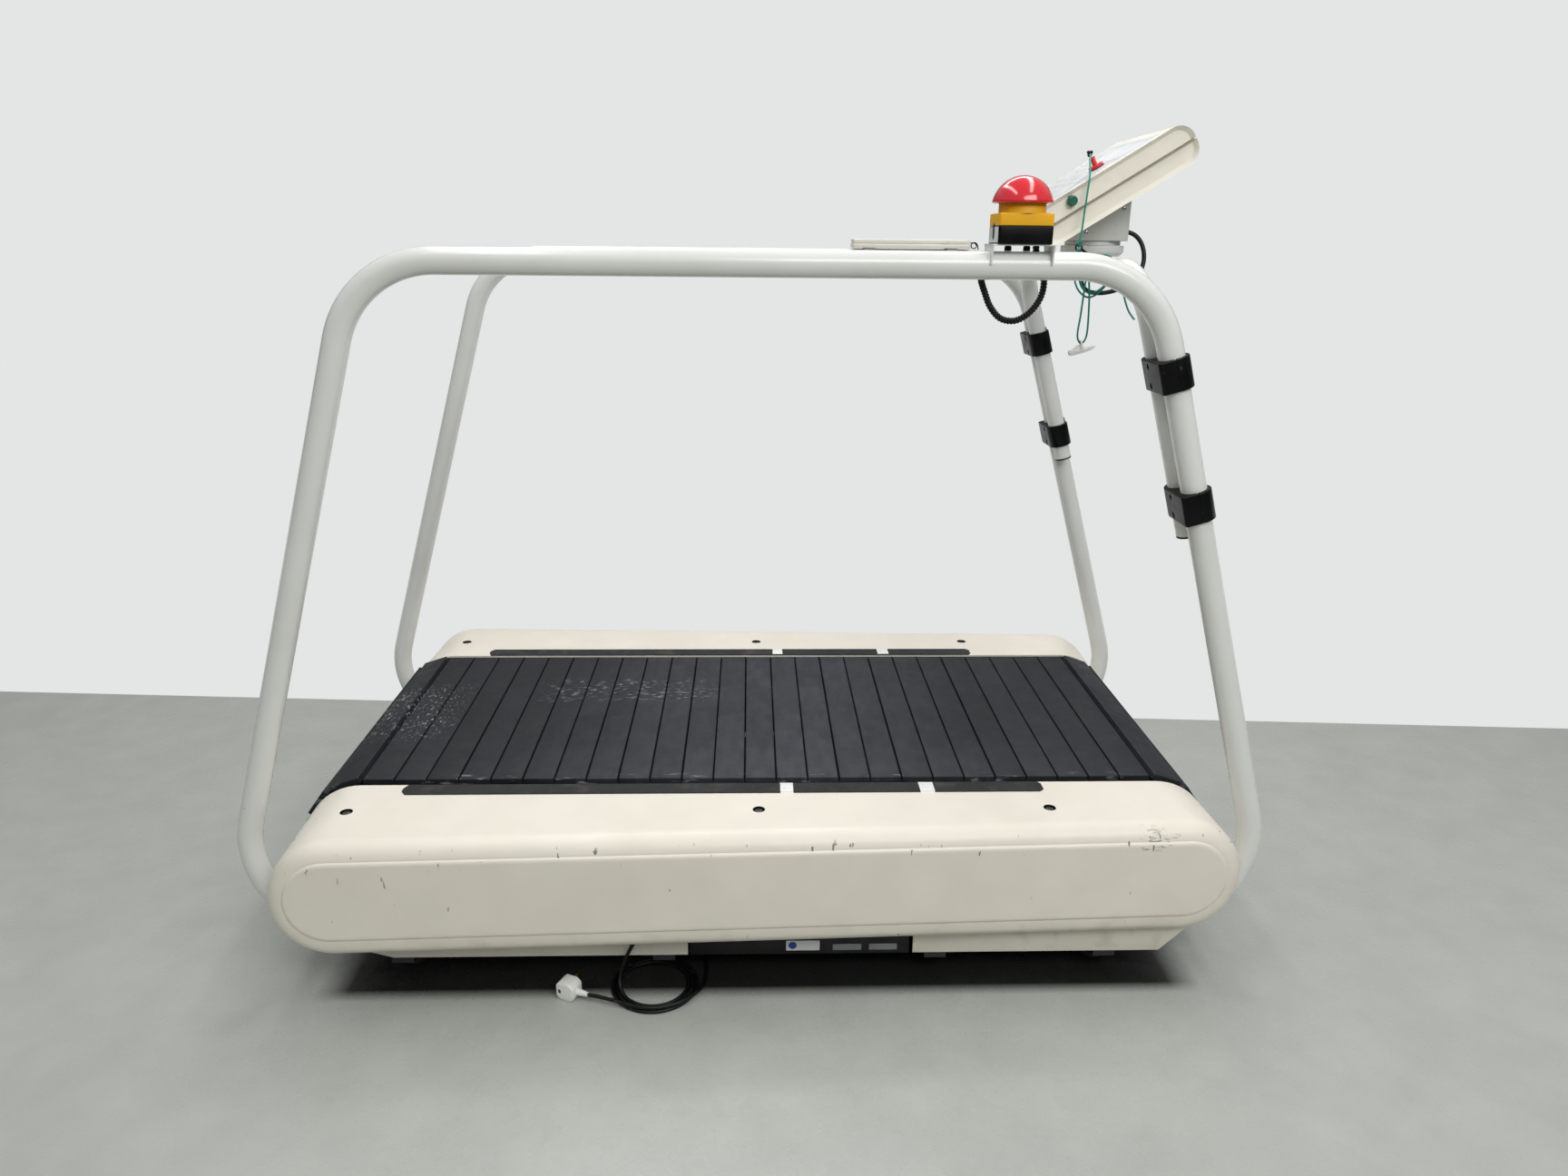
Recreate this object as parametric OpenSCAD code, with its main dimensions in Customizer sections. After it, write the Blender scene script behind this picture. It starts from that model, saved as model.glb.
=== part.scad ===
// Slat-belt treadmill with two bent-tube handrails, a clamped console arch, a swivelling
// control console and a palm-size emergency stop. Origin on the floor under the middle of
// the machine, +X towards the console end, +Z up.

/* [Running belt] */
// Height of the running surface above the floor
deck_h = 330; // [300:5:360]
// Spacing of the slats round the belt
slat_pitch = 60; // [50:1:70]
// Number of slats on each flat run
flat_slats = 25; // [21:1:27]
// Length of a slat across the machine
slat_l = 635; // [560:5:640]
// Gap between neighbouring treads
slat_gap = 2.5; // [1:0.5:4]
// Thickness of the rubber tread
tread_t = 12; // [8:1:14]
// Depth of the flexing line under the running surface
pitch_depth = 18; // [16:1:20]
// Belt centre ahead of the middle of the machine
belt_shift = 7.5; // [0:0.5:12]

/* [Side covers] */
// Distance from the centre line to the inner edge of a cover
cover_in = 335; // [330:1:345]
// Distance from the centre line to the outer face at mid length
cover_out = 536; // [520:1:560]
// Taper of the outer face in degrees, wider at the rear
cover_taper = 1.95; // [0:0.05:2.5]
// Half distance between the centres of the rounded ends
cover_half = 748; // [700:2:760]
// Radius of the rounded ends
cover_r = 110; // [105:1:115]
// Radius of the outer edge
cover_edge = 34; // [20:1:45]
// Wall thickness of the covers and skirts
cover_wall = 4; // [3:0.5:6]
// Radius of the raised side panel
panel_r = 75; // [70:1:80]
// Height the side panel stands out
panel_step = 4; // [2:0.5:6]

/* [Handrails] */
// Outside diameter of the handrail tube
rail_d = 42.4; // [38:0.1:48.3]
// Distance from the centre line to a handrail
rail_y = 445.7; // [430:0.1:455]
// Height of the top bar centre above the floor
rail_z = 1269; // [1200:1:1320]
// Half distance between the leg lines where they meet the top bar
rail_x = 616.4; // [580:0.1:650]
// Lean of the legs from vertical in degrees
lean = 16.2; // [10:0.1:20]
// Radius of the upper bends
bend_top = 165; // [120:1:180]
// Radius of the lower bends
bend_low = 175; // [150:1:180]
// Height of the stub centre under the covers
stub_z = 93.9; // [90:0.1:100]
// Amount the tube draws in at its bends
draw_in = 0.2; // [0.15:0.05:0.5]

/* [Console arch] */
// Outside diameter of the arch tube
arch_d = 38; // [32:0.5:42]
// Distance from the centre line to an arch leg
arch_y = 395.7; // [385:0.1:396]
// Height of the cross tube centre
arch_z = 1262; // [1200:1:1300]
// Position of the cross tube along the machine
arch_x = 612.5; // [600:0.5:620]
// Heights of the open leg ends, near side and far side
arch_low = [831, 815];
// Heights of the near clamp centres
clamp_near = [893, 1107];
// Heights of the far clamp centres
clamp_far = [871, 1085];
// Height of a clamp along the leg
clamp_h = 52; // [45:1:65]

/* [Console] */
// Width of the console across the machine
con_w = 310; // [280:5:340]
// Length of the console face
con_l = 307; // [280:1:330]
// Thickness of the console
con_t = 71; // [60:1:80]
// Tilt of the face from level in degrees
con_tilt = 31.7; // [20:0.1:45]

/* [Emergency stop] */
// Position along the near handrail
stop_x = 401; // [300:1:450]
// Diameter of the red dome
dome_d = 92; // [80:1:96]
// Travel of the dome when struck
dome_travel = 6; // [4:0.5:8]

/* [Cords] */
// Diameter of the mains lead
lead_d = 7; // [6:0.5:7]
// Diameter of the safety lanyard
lanyard_d = 3.5; // [2:0.5:3.5]

/* [Hidden] */
$fn = 64;
roll_r = 5 * slat_pitch / PI;
roll_z = deck_h - pitch_depth - roll_r;
flat_half = flat_slats * slat_pitch / 2;
axle_x = [belt_shift - flat_half, belt_shift + flat_half];
cover_z = deck_h - 3 - cover_r;
panel_z = deck_h - 106;
gap = 0.3;
con_o = [536.5, 0, 1340];
leg_len = [for (z = arch_low) (arch_z - z) / cos(lean)];
arch_bend = 90;
base_top = 67;
skirt_y = 475;
skirt_z = 53;
bracket_holes = [[684, 1367], [617, 1324]];

// mains lead: down from the gland, turns on the floor, then back over them to the plug
feed_pts = [[-218, -487, 98], [-222.5, -487.3, 88.3], [-227.5, -488, 78.6], [-232.3, -489.4, 69],
            [-237, -491, 59.4], [-241, -493.6, 49.7], [-244.7, -496.8, 40], [-247.3, -501, 30.4],
            [-248.5, -506.5, 21], [-247.3, -513.5, 13], [-243, -521.5, 7.5],
            [-237, -530.3, 4.3]];
turn_c = [-187.6, -495.6];
turn_pts = [for (i = [0:47]) let (a = 225 + 20 * i, r = 60 + 0.42 * i)
    [turn_c[0] + r * cos(a), turn_c[1] + r * sin(a), 3.6]];
back_pts = [[-201, -414.5, 3.6], [-221, -407.5, 3.6], [-233, -391, 3.6], [-233.5, -371, 3.6],
            [-222, -354.5, 3.6], [-202, -348, 3.6], [-175, -348, 3.6], [-145, -356, 3.6],
            [-119, -373, 3.6], [-102, -398, 3.6], [-95, -427, 3.6], [-93, -458, 3.6],
            [-95, -488, 4.4], [-101, -513, 8.4], [-113, -535, 11.6], [-131, -552, 11.2],
            [-150, -562, 10.9], [-168, -568, 10.8], [-188, -570, 10.8], [-208, -567.5, 10.9],
            [-227, -561, 11.2], [-246, -553.6, 12], [-266, -547, 13], [-285, -541.6, 14.2],
            [-301.7, -537.9, 15]];
plug_o = [-338, -521, 0];
plug_turn = -25;

// console cable: bracket to the underside of the cross tube
cable_pts = [[698, -20, 1326], [709, -20.5, 1325.5], [722, -22, 1320], [733, -25, 1308],
             [739, -29, 1291], [739.5, -33, 1272], [733, -38, 1254], [719, -43, 1238],
             [700, -48, 1226], [689.5, -50.6, 1221.5], [679, -53, 1218.2], [668, -55.2, 1216],
             [658, -57.3, 1214.8], [649, -59.2, 1214.7], [640.5, -61, 1215.4],
             [631.8, -61.9, 1216.8], [624, -62.8, 1220.7], [617.8, -63.4, 1226.9],
             [613.9, -63.9, 1234.4], [612.5, -64, 1242.7]];

// lanyard from the key over the console edge to the eye
lanyard_pts = [[609.8, -60, 1461], [607, -74, 1457], [598, -108, 1441], [589, -144, 1423],
               [585, -157, 1413], [582.5, -162, 1398], [579, -165, 1360], [575, -171, 1324],
               [571.5, -175, 1304.3]];

// loose end: two turns over the cross tube hang in front of it, then two strands to the
// clip and a free end
tail_pts = [[571, -175, 1289.8], [569, -176, 1276], [566, -180, 1256], [567, -183, 1240],
            [573, -184, 1226], [583, -184, 1216], [594, -184, 1212], [606, -184, 1216],
            [618, -184, 1227], [629, -184, 1241], [635, -185, 1260], [628, -185.5, 1278],
            [612.5, -186, 1284], [597, -186, 1278], [586, -186.5, 1262], [577, -187, 1245],
            [579, -188, 1231], [588, -188, 1222], [600, -188, 1220], [612, -188, 1226],
            [624, -189, 1238], [634, -190, 1254], [632, -190.5, 1273], [619, -191, 1283.5],
            [604, -191, 1282.5], [591, -191, 1271], [585, -191, 1250], [583, -189, 1215],
            [581.5, -187, 1180], [579.5, -185, 1152], [581.5, -184, 1138], [588, -184, 1131],
            [594.5, -184, 1138], [596.5, -186, 1152], [595, -190, 1180], [592, -194, 1215],
            [588, -196, 1248], [590, -196, 1270], [603, -196, 1282.5], [619, -196, 1283.5],
            [633, -195, 1272], [643, -193, 1252], [651, -191, 1228], [659, -189, 1207],
            [668, -188, 1188], [680, -187, 1174]];

// corrugated conduit from the stop box to the handrail
conduit_pts = [[434, -414.5, 1300.8], [436, -414.5, 1286], [446, -414.5, 1266],
               [451, -414.5, 1244], [447, -414.5, 1220], [432, -414.5, 1198],
               [410, -414.5, 1185], [386, -414.5, 1188], [368, -415, 1206],
               [357, -417, 1229], [350, -423, 1244], [347, -430.6, 1253.8]];

// short curled lead from the flat box into the far handrail
boxlead_pts = [[493.8, 446, 1303], [500, 446, 1304.8], [507, 445.5, 1304.4], [511.7, 444.8, 1299],
               [510, 444, 1294], [505, 443, 1292.6], [500, 442, 1295], [498.8, 441.2, 1300.2],
               [502.5, 440.4, 1305], [508.5, 439.6, 1305], [513, 438.8, 1299.5],
               [515, 438.2, 1289.4]];

// ---------- shared shapes ----------

// box from a low corner to a high corner
module block(a, b) translate(a) cube(b - a);

// cylinder along Y between two heights
module rod_y(x, z, r, y0, y1) translate([x, y1, z]) rotate([90, 0, 0]) cylinder(r = r, h = y1 - y0);

// cylinder along X
module rod_x(y, z, r, x0, x1) translate([x0, y, z]) rotate([0, 90, 0]) cylinder(r = r, h = x1 - x0);

// outline drawn in X-Z and given a thickness along Y
module slab_y(y0, y1) translate([0, y1, 0]) rotate([90, 0, 0]) linear_extrude(y1 - y0) children();

// both ends of the machine, both sides of the machine
module both_x() {
    children();
    mirror([1, 0, 0]) children();
}
module both_y() {
    children();
    mirror([0, 1, 0]) children();
}

// piece of a torus in the X-Z plane, angles from +X
module bend(c, rb, rt, a0, a1)
    translate(c) rotate([90, 0, 0]) rotate([0, 0, a0]) rotate_extrude(angle = a1 - a0)
        translate([rb, 0]) circle(r = rt);

function unit(v) = v / max(norm(v), 0.000001);
function mix4(a, b, c, d, t) = 0.5 * (2 * b + (c - a) * t + (2 * a - 5 * b + 4 * c - d) * t * t
    + (3 * b - a - 3 * c + d) * t * t * t);
function dense(p, n) = concat([for (i = [0:len(p) - 2]) for (k = [0:n - 1])
    mix4(p[max(i - 1, 0)], p[i], p[i + 1], p[min(i + 2, len(p) - 1)], k / n)],
    [p[len(p) - 1]]);
function tangents(p) = [for (i = [0:len(p) - 1])
    unit(p[min(i + 1, len(p) - 1)] - p[max(i - 1, 0)])];
function carry(t, i, acc) = i >= len(t) ? acc :
    carry(t, i + 1, concat(acc, [unit(acc[i - 1] - t[i] * (acc[i - 1] * t[i]))]));
function first_side(t) = unit(cross(t, abs(t[2]) < 0.8 ? [0, 0, 1] : [0, 1, 0]));

// round cord swept along a route
module cord(p, r, sides = 8) {
    t = tangents(p);
    s = carry(t, 1, [first_side(t[0])]);
    n = len(p);
    polyhedron(
        points = [for (i = [0:n - 1]) for (k = [0:sides - 1])
            p[i] + r * (cos(k * 360 / sides) * s[i] + sin(k * 360 / sides) * cross(t[i], s[i]))],
        faces = concat(
            [[for (k = [0:sides - 1]) k]],
            [for (i = [0:n - 2]) for (k = [0:sides - 1])
                [i * sides + k, (i + 1) * sides + k,
                 (i + 1) * sides + (k + 1) % sides, i * sides + (k + 1) % sides]],
            [[for (k = [sides - 1:-1:0]) (n - 1) * sides + k]]));
}

// ---------- base and deck frame ----------

module base_frame() color("#2b2d30") {
    difference() {
        union() {
            for (x = [-645, -170, 330, 645]) block([x - 20, -475, 40], [x + 20, 475, base_top]);
            both_y() block([-760, 321, base_top - 0.01], [760, 361, 95]);
        }
        both_y() block([-755, 324, base_top + 3], [755, 358, 92]);
    }
}

module levelling_feet() color("#1d1d1f")
    for (x = [-645, 645]) for (y = [-400, 400]) translate([x, y, 0]) {
        cylinder(d = 56, h = 12);
        translate([0, 0, 12]) cylinder(d1 = 56, d2 = 24, h = 8);
        translate([0, 0, 20]) cylinder(d = 24, h = 20);
    }

module deck_frame() color("#34373b") {
    both_y() difference() {
        slab_y(321, 327) union() {
            translate([-700, 130]) square([1400, 170]);
            for (x = axle_x) translate([x, roll_z]) circle(r = 78);
            for (x = [-460, 430]) translate([x, 95]) square([90, 40]);
            for (s = [-1, 1]) translate([s < 0 ? axle_x[0] : 600, roll_z - 60]) square([150, 120]);
        }
        for (x = axle_x) rod_y(x, roll_z, 22, 320, 328);
        for (x = [-380, 40]) block([x, 320, 170], [x + 260, 328, 250]);
    }
    for (x = [-520, -180, 160]) difference() {
        block([x - 20, -321, roll_z - 20], [x + 20, 321, roll_z + 20]);
        block([x - 17, -322, roll_z - 17], [x + 17, 322, roll_z + 17]);
    }
    both_y() difference() {
        block([-690, 292, 276], [690, 298, 306]);
        for (x = [-650:100:650]) rod_y(x, 292.6, 5.1, 291, 299);
    }
    both_y() for (x = [-520, -180, 160]) block([x - 18, 292.2, roll_z + 20], [x + 18, 297.8, 276]);
    block([180, -60, roll_z - 12], [354.7, 60, roll_z - 4]);
    both_y() block([320, 40, roll_z - 4], [350, 60, roll_z + 20]);
}

module guide_rollers() color("#8f9397")
    both_y() for (x = [-650:100:650]) {
        rod_y(x, 292.6, 13, 257, 283);
        rod_y(x, 292.6, 5, 283, 298);
    }

// ---------- slat belt ----------

// position of each slat round the loop: flat top, front end, flat bottom, rear end
module at_slats() {
    for (i = [0:flat_slats - 1]) {
        translate([belt_shift - flat_half + (i + 0.5) * slat_pitch, 0, roll_z + roll_r]) children();
        translate([belt_shift - flat_half + (i + 0.5) * slat_pitch, 0, roll_z - roll_r])
            rotate([0, 180, 0]) children();
    }
    for (k = [0:4]) {
        translate([axle_x[1], 0, roll_z]) rotate([0, 18 + 36 * k, 0]) translate([0, 0, roll_r])
            children();
        translate([axle_x[0], 0, roll_z]) rotate([0, -18 - 36 * k, 0]) translate([0, 0, roll_r])
            children();
    }
}

module slat_treads() color("#30343b")
    at_slats() slab_y(-slat_l / 2, slat_l / 2)
        polygon([[-27, 6.1], [27, 6.1], [(slat_pitch - slat_gap) / 2, pitch_depth - 2],
                 [(slat_pitch - slat_gap) / 2 - 1.5, pitch_depth],
                 [1.5 - (slat_pitch - slat_gap) / 2, pitch_depth],
                 [-(slat_pitch - slat_gap) / 2, pitch_depth - 2]]);

module slat_beams() color("#a9adb0")
    at_slats() {
        block([-25, -slat_l / 2 + 3, 1], [25, slat_l / 2 - 3, 6]);
        block([-3, -248, -16], [3, 248, 1.01]);
    }

module carrier_belts() color("#191a1c")
    both_y() slab_y(256, 284) difference() {
        belt_loop(roll_r + 0.9);
        belt_loop(roll_r - 6);
    }

module belt_loop(r) {
    for (x = axle_x) translate([x, roll_z]) circle(r = r, $fn = 96);
    translate([axle_x[0], roll_z - r]) square([axle_x[1] - axle_x[0], 2 * r]);
}

module end_shaft(x) color("#9b9fa3") {
    rod_y(x, roll_z, 20, -318, 318);
    both_y() rod_y(x, roll_z, 15, 317.9, 349);
}

module end_pulleys(x) color("#5c6064")
    both_y() {
        difference() {
            rod_y(x, roll_z, roll_r - 6.2, 255, 285);
            rod_y(x, roll_z, 20.05, 254, 286);
            for (a = [0:60:300]) translate([x, 0, roll_z]) rotate([0, a, 0])
                rod_y(52, 0, 15, 254, 286);
        }
    }

module front_shaft() end_shaft(axle_x[1]);
module rear_shaft() end_shaft(axle_x[0]);
module front_pulleys() end_pulleys(axle_x[1]);
module rear_pulleys() end_pulleys(axle_x[0]);

module bearing_housings() color("#46494d")
    for (x = axle_x) both_y() difference() {
        block([x - 36, 327, roll_z - 30], [x + 36, 347, roll_z + 30]);
        rod_y(x, roll_z, 15.05, 326, 348);
    }

// ---------- drive ----------

module drive_motor() color("#3b4046") {
    rod_y(420, roll_z, 62, -105, 105);
    rod_y(420, roll_z, 50, 104.9, 118);
    for (y = [-90:15:90]) rod_y(420, roll_z, 65, y - 3, y + 3);
}

module motor_pulley() color("#8b8f93") difference() {
    union() {
        rod_y(420, roll_z, 30, 146, 174);
        rod_y(420, roll_z, 12, 118.4, 182);
    }
    for (a = [0:90:270]) translate([420, 0, roll_z]) rotate([0, a, 0]) rod_y(20, 0, 4, 145, 175);
}

module shaft_pulley() color("#8b8f93") difference() {
    rod_y(axle_x[1], roll_z, 60, 146, 174);
    rod_y(axle_x[1], roll_z, 20.05, 145, 175);
    for (a = [0:60:300]) translate([axle_x[1], 0, roll_z]) rotate([0, a, 0])
        rod_y(40, 0, 9, 145, 175);
}

drive_c = axle_x[1] - 420;
drive_a = asin(30 / drive_c);

// outline of the drive belt, t outside the pulley faces
module drive_loop(t) polygon(concat(
    [for (i = [0:20]) let (a = 90 + drive_a + i * (180 - 2 * drive_a) / 20)
        (30.3 + t) * [cos(a), sin(a)]],
    [for (i = [0:20]) let (a = -90 - drive_a + i * (180 + 2 * drive_a) / 20)
        [drive_c, 0] + (60.3 + t) * [cos(a), sin(a)]]));

module drive_belt() color("#16171a")
    translate([420, 0, roll_z]) slab_y(149, 171) difference() {
        drive_loop(4);
        drive_loop(0);
    }

module control_box() color("#17181a") difference() {
    block([-125, -470, 45], [283, -362, 104]);
    block([-122, -467, 48], [280, -365, 101]);
}

module panel_plates() {
    color("#e8e9ea") block([54, -471.5, 55], [116, -470, 76]);
    color("#7b7f83") block([140, -471.5, 55], [193, -470, 68]);
    color("#7b7f83") block([207, -471.5, 55], [259, -470, 68]);
}

// ---------- skirts and covers ----------

module near_skirts() color("#e6dfcf") mirror([0, 1, 0]) {
    slab_y(skirt_y, skirt_y + 3) polygon([[-700, skirt_z + 12], [-660, skirt_z], [-126, skirt_z],
        [-126, 150], [-700, 150]]);
    slab_y(skirt_y, skirt_y + 3) polygon([[287, skirt_z], [746, skirt_z], [792, skirt_z + 47],
        [792, 150], [287, 150]]);
}

module far_skirt() color("#e6dfcf")
    slab_y(skirt_y, skirt_y + 3) polygon([[-700, skirt_z + 12], [-660, skirt_z], [746, skirt_z],
        [792, skirt_z + 47], [792, 150], [-700, 150]]);

// solid with rounded ends and a rounded outer edge of radius e, outer face at Y = d
module stadium(h, r, d, e) {
    both_x() translate([h, 0, 0]) rotate([-90, 0, 0]) rotate_extrude() {
        square([r, d - e]);
        square([r - e, d]);
        intersection() {
            translate([r - e, d - e]) circle(r = e);
            square([r, d]);
        }
    }
    translate([-h, 0, 0]) rotate([90, 0, 90]) linear_extrude(2 * h) {
        translate([0, -r]) square([d - e, 2 * r]);
        translate([0, e - r]) square([d, 2 * (r - e)]);
        for (s = [-1, 1]) translate([d - e, s * (r - e)]) circle(r = e);
    }
}

module cover_at_side() rotate([0, 0, -cover_taper]) translate([0, 0, cover_z]) children();

module side_cover() {
    difference() {
        union() {
            cover_at_side() stadium(cover_half, cover_r, cover_out, cover_edge);
            rotate([0, 0, -cover_taper]) translate([0, cover_out - 1, panel_z])
                rotate([-90, 0, 0]) linear_extrude(1 + panel_step) {
                    both_x() translate([cover_half, 0]) circle(r = panel_r);
                    square([2 * cover_half, 2 * panel_r], center = true);
                }
        }
        cover_at_side() stadium(cover_half, cover_r - cover_wall, cover_out - cover_wall,
            cover_edge - cover_wall);
        block([-1000, -200, 0], [1000, cover_in, 400]);
        block([-735, 300, 100], [812, 500, 160]);
        both_x() block([690, rail_y - 27, 60], [900, rail_y + 27, 205]);
        both_x() rod_x(rail_y, 205, 27, 690, 900);
        for (x = [-730.5, 3.5, 531.5]) translate([x, 434.3, deck_h - 12]) cylinder(d = 9, h = 12);
        for (x = [-730.5, 3.5, 531.5]) translate([x, 434.3, deck_h - 5.5]) cylinder(d = 22, h = 12);
        translate([0, 0, deck_h - 4.5]) foot_outline(0.3);
    }
    for (x = [-730.5, 3.5, 531.5]) difference() {
        translate([x, 434.3, deck_h - 13]) cylinder(d = 26, h = 7.5);
        translate([x, 434.3, deck_h - 14]) cylinder(d = 9, h = 12);
    }
}

module far_cover() color("#ece7da") side_cover();
module near_cover() color("#ece7da") mirror([0, 1, 0]) side_cover();

module foot_outline(c) linear_extrude(4) polygon([
    [-654.5 - c, 352], [-648 - c, 338 - c], [531 + c, 338 - c], [537.5 + c, 346], [537.5 + c, 366],
    [529 + c, 374 + c], [-646 - c, 374 + c], [-654.5 - c, 362]]);

module foot_strips() color("#3a3a3c") both_y() translate([0, 0, deck_h - 4.5]) foot_outline(0);

module tape_marks() color("#efefec")
    both_y() for (x = [[44, 68], [305, 332]])
        block([x[0], 336, deck_h - 0.5], [x[1], 377, deck_h - 0.2]);

module cover_screws() color("#c9ccce")
    both_y() for (x = [-730.5, 3.5, 531.5]) translate([x, 434.3, 0]) difference() {
        union() {
            translate([0, 0, deck_h - 5.5]) cylinder(d = 15, h = 3.5);
            translate([0, 0, deck_h - 30]) cylinder(d = 8, h = 24.6);
        }
        for (a = [0, 90]) rotate(a) block([-4.5, -0.8, deck_h - 4.2], [4.5, 0.8, deck_h]);
    }

// ---------- handrails ----------

function leg_x(z) = rail_x + (rail_z - z) * tan(lean);
low_cz = stub_z + bend_low;
low_cx = leg_x(low_cz + bend_low * sin(lean)) - bend_low * cos(lean);
top_cx = rail_x - bend_top * tan((90 - lean) / 2);

low_z = low_cz + bend_low * sin(lean);
top_z = rail_z - bend_top + bend_top * sin(lean);

// run of the handrail tube at radius r, stub ends at x0; straights lap the bends by 0.5
// the tube draws in slightly where it is bent
module rail_path(r, x0) {
    rod_x(0, rail_z, r, -top_cx - 0.5, top_cx + 0.5);
    both_x() {
        bend([top_cx, 0, rail_z - bend_top], bend_top, r - draw_in, lean, 90);
        translate([leg_x(low_z), 0, low_z]) rotate([0, -lean, 0]) translate([0, 0, -0.5])
            cylinder(r = r, h = (top_z - low_z) / cos(lean) + 1);
        bend([low_cx, 0, low_cz], bend_low, r - draw_in, -90, lean);
        rod_x(0, stub_z, r, x0, low_cx + 0.5);
    }
}

module handrail() color("#dfe1de") translate([0, rail_y, 0]) difference() {
    rail_path(rail_d / 2, 600);
    rail_path(rail_d / 2 - 3, 599);
}

module far_handrail() handrail();
module near_handrail() mirror([0, 1, 0]) handrail();

module rail_sockets() color("#2b2d30")
    both_x() both_y() difference() {
        union() {
            rod_x(rail_y, stub_z, 26.8, 610, 680);
            block([625, rail_y - 24, base_top], [665, rail_y + 24, stub_z]);
        }
        rod_x(rail_y, stub_z, rail_d / 2 + 0.05, 600, 690);
    }

// ---------- console arch ----------

module arch_shape(r) both_y() {
    rod_y(0, 0, r, -0.01, arch_y - arch_bend);
    translate([0, arch_y - arch_bend, -arch_bend]) rotate([0, -90, 0]) rotate([0, 0, 0])
        rotate_extrude(angle = 90) translate([arch_bend, 0]) circle(r = r);
}

// straight legs of the arch, near side and far side
module arch_legs(r, below = 0) for (i = [0, 1])
    translate([0, (2 * i - 1) * arch_y, -leg_len[i] - below])
        cylinder(r = r, h = leg_len[i] - arch_bend + below);

module on_arch() translate([arch_x, 0, arch_z]) rotate([0, -lean, 0]) children();

module console_arch() color("#dfe1de") on_arch() difference() {
    union() {
        arch_shape(arch_d / 2);
        arch_legs(arch_d / 2);
    }
    arch_shape(arch_d / 2 - 2.5);
    arch_legs(arch_d / 2 - 2.5, 5);
}

module arch_end_caps() color("#151517") on_arch() for (i = [0, 1])
    translate([0, (2 * i - 1) * arch_y, -leg_len[i]]) {
        translate([0, 0, -4]) cylinder(d = arch_d, h = 4);
        translate([0, 0, -0.01]) cylinder(r = arch_d / 2 - 2.6, h = 14);
    }

arch_set = (leg_x(arch_z) - arch_x) * cos(lean);
mid_y = (rail_y + arch_y) / 2;
half_y = (rail_y - arch_y) / 2;

// clamps stand square to the legs, X pointing forward, centred between the tubes
module clamp_row(heights) for (z = heights)
    translate([leg_x(z), mid_y, z]) rotate([0, -lean, 0]) children();
module at_clamps() {
    clamp_row(clamp_far) children();
    mirror([0, 1, 0]) clamp_row(clamp_near) children();
}

module clamp_outline() {
    translate([0, half_y]) circle(r = 27.5);
    translate([-arch_set, -half_y]) circle(r = 25);
    translate([-arch_set - 25, -half_y]) square([arch_set + 25, 2 * half_y + 27.5]);
    translate([-1, -half_y]) square([20, 2 * half_y]);
}

module clamp_holes() {
    translate([0, half_y, -50]) cylinder(r = rail_d / 2 + 0.05, h = 100);
    translate([-arch_set, -half_y, -50]) cylinder(r = arch_d / 2 + 0.05, h = 100);
    for (z = [-16, 16]) translate([-60, -1, z]) rotate([0, 90, 0]) cylinder(d = 6.2, h = 76);
    for (z = [-16, 16]) translate([-40, -1, z]) rotate([0, 90, 0]) cylinder(d = 11, h = 16);
}

module arch_clamps() color("#141416") at_clamps() difference() {
    linear_extrude(clamp_h, center = true) intersection() {
        clamp_outline();
        translate([-2, -60]) square([80, 120]);
    }
    clamp_holes();
}

module clamp_backs() color("#1c1c1e") at_clamps() difference() {
    linear_extrude(clamp_h, center = true) intersection() {
        clamp_outline();
        translate([-82.6, -60]) square([80, 120]);
    }
    clamp_holes();
}

module clamp_screws() color("#4a4c50") at_clamps() for (z = [-16, 16]) translate([0, -1, z])
    difference() {
        union() {
            rod_x(0, 0, 3, -24, 14);
            rod_x(0, 0, 5, -29.5, -24);
        }
        translate([-31, 0, 0]) rotate([0, 90, 0]) cylinder(d = 5, h = 4.5, $fn = 6);
    }

// ---------- turntable and console ----------

swivel_x = 647.5;

module turntable_base() color("#c9cbc8") difference() {
    union() {
        translate([swivel_x, 0, 1281.2]) cylinder(d1 = 104, d2 = 118, h = 7);
        translate([swivel_x, 0, 1288.2]) cylinder(d = 118, h = 12.8);
        block([596, -42, 1256], [652, 42, 1281.3]);
    }
    rod_y(arch_x, arch_z, arch_d / 2 + 0.05, -50, 50);
    translate([swivel_x, 0, 1288]) cylinder(d = 24.1, h = 20);
}

module turntable_disc() color("#c2c5c2") {
    translate([swivel_x, 0, 1301.3]) cylinder(d = 104, h = 7.7);
    translate([swivel_x, 0, 1288.5]) cylinder(d = 24, h = 13);
}

module on_console() translate(con_o) rotate([0, -con_tilt, 0]) children();
con_u = con_l - con_t;

// rounded side outline of the console, in by c
module con_outline(c) {
    for (u = [-con_t / 2 + 30, con_u + con_t / 2 - 30]) for (v = [-1, 1])
        translate([u, v * (con_t / 2 - 30)]) circle(r = 30 - c);
    translate([-con_t / 2 + 30, -con_t / 2 + c]) square([con_l - 60, con_t - 2 * c]);
    translate([-con_t / 2 + c, -con_t / 2 + 30]) square([con_l - 2 * c, con_t - 60]);
}

module wedge_bracket() color("#b3b6b0") difference() {
    slab_y(-56, 56) polygon([[595, 1309], [698, 1309], [698, wedge_z(698)], [595, wedge_z(595)]]);
    slab_y(-53, 53) polygon([[598, 1312], [695, 1312], [695, 1500], [598, 1500]]);
    rod_x(-20, 1326, 5, 690, 700);
    for (p = bracket_holes) rod_y(p[0], p[1], 2.05, -57, 57);
}
function wedge_z(x) = con_o[2] + (x - con_o[0]) * tan(con_tilt) - (con_t / 2 + 0.1) / cos(con_tilt);

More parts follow.
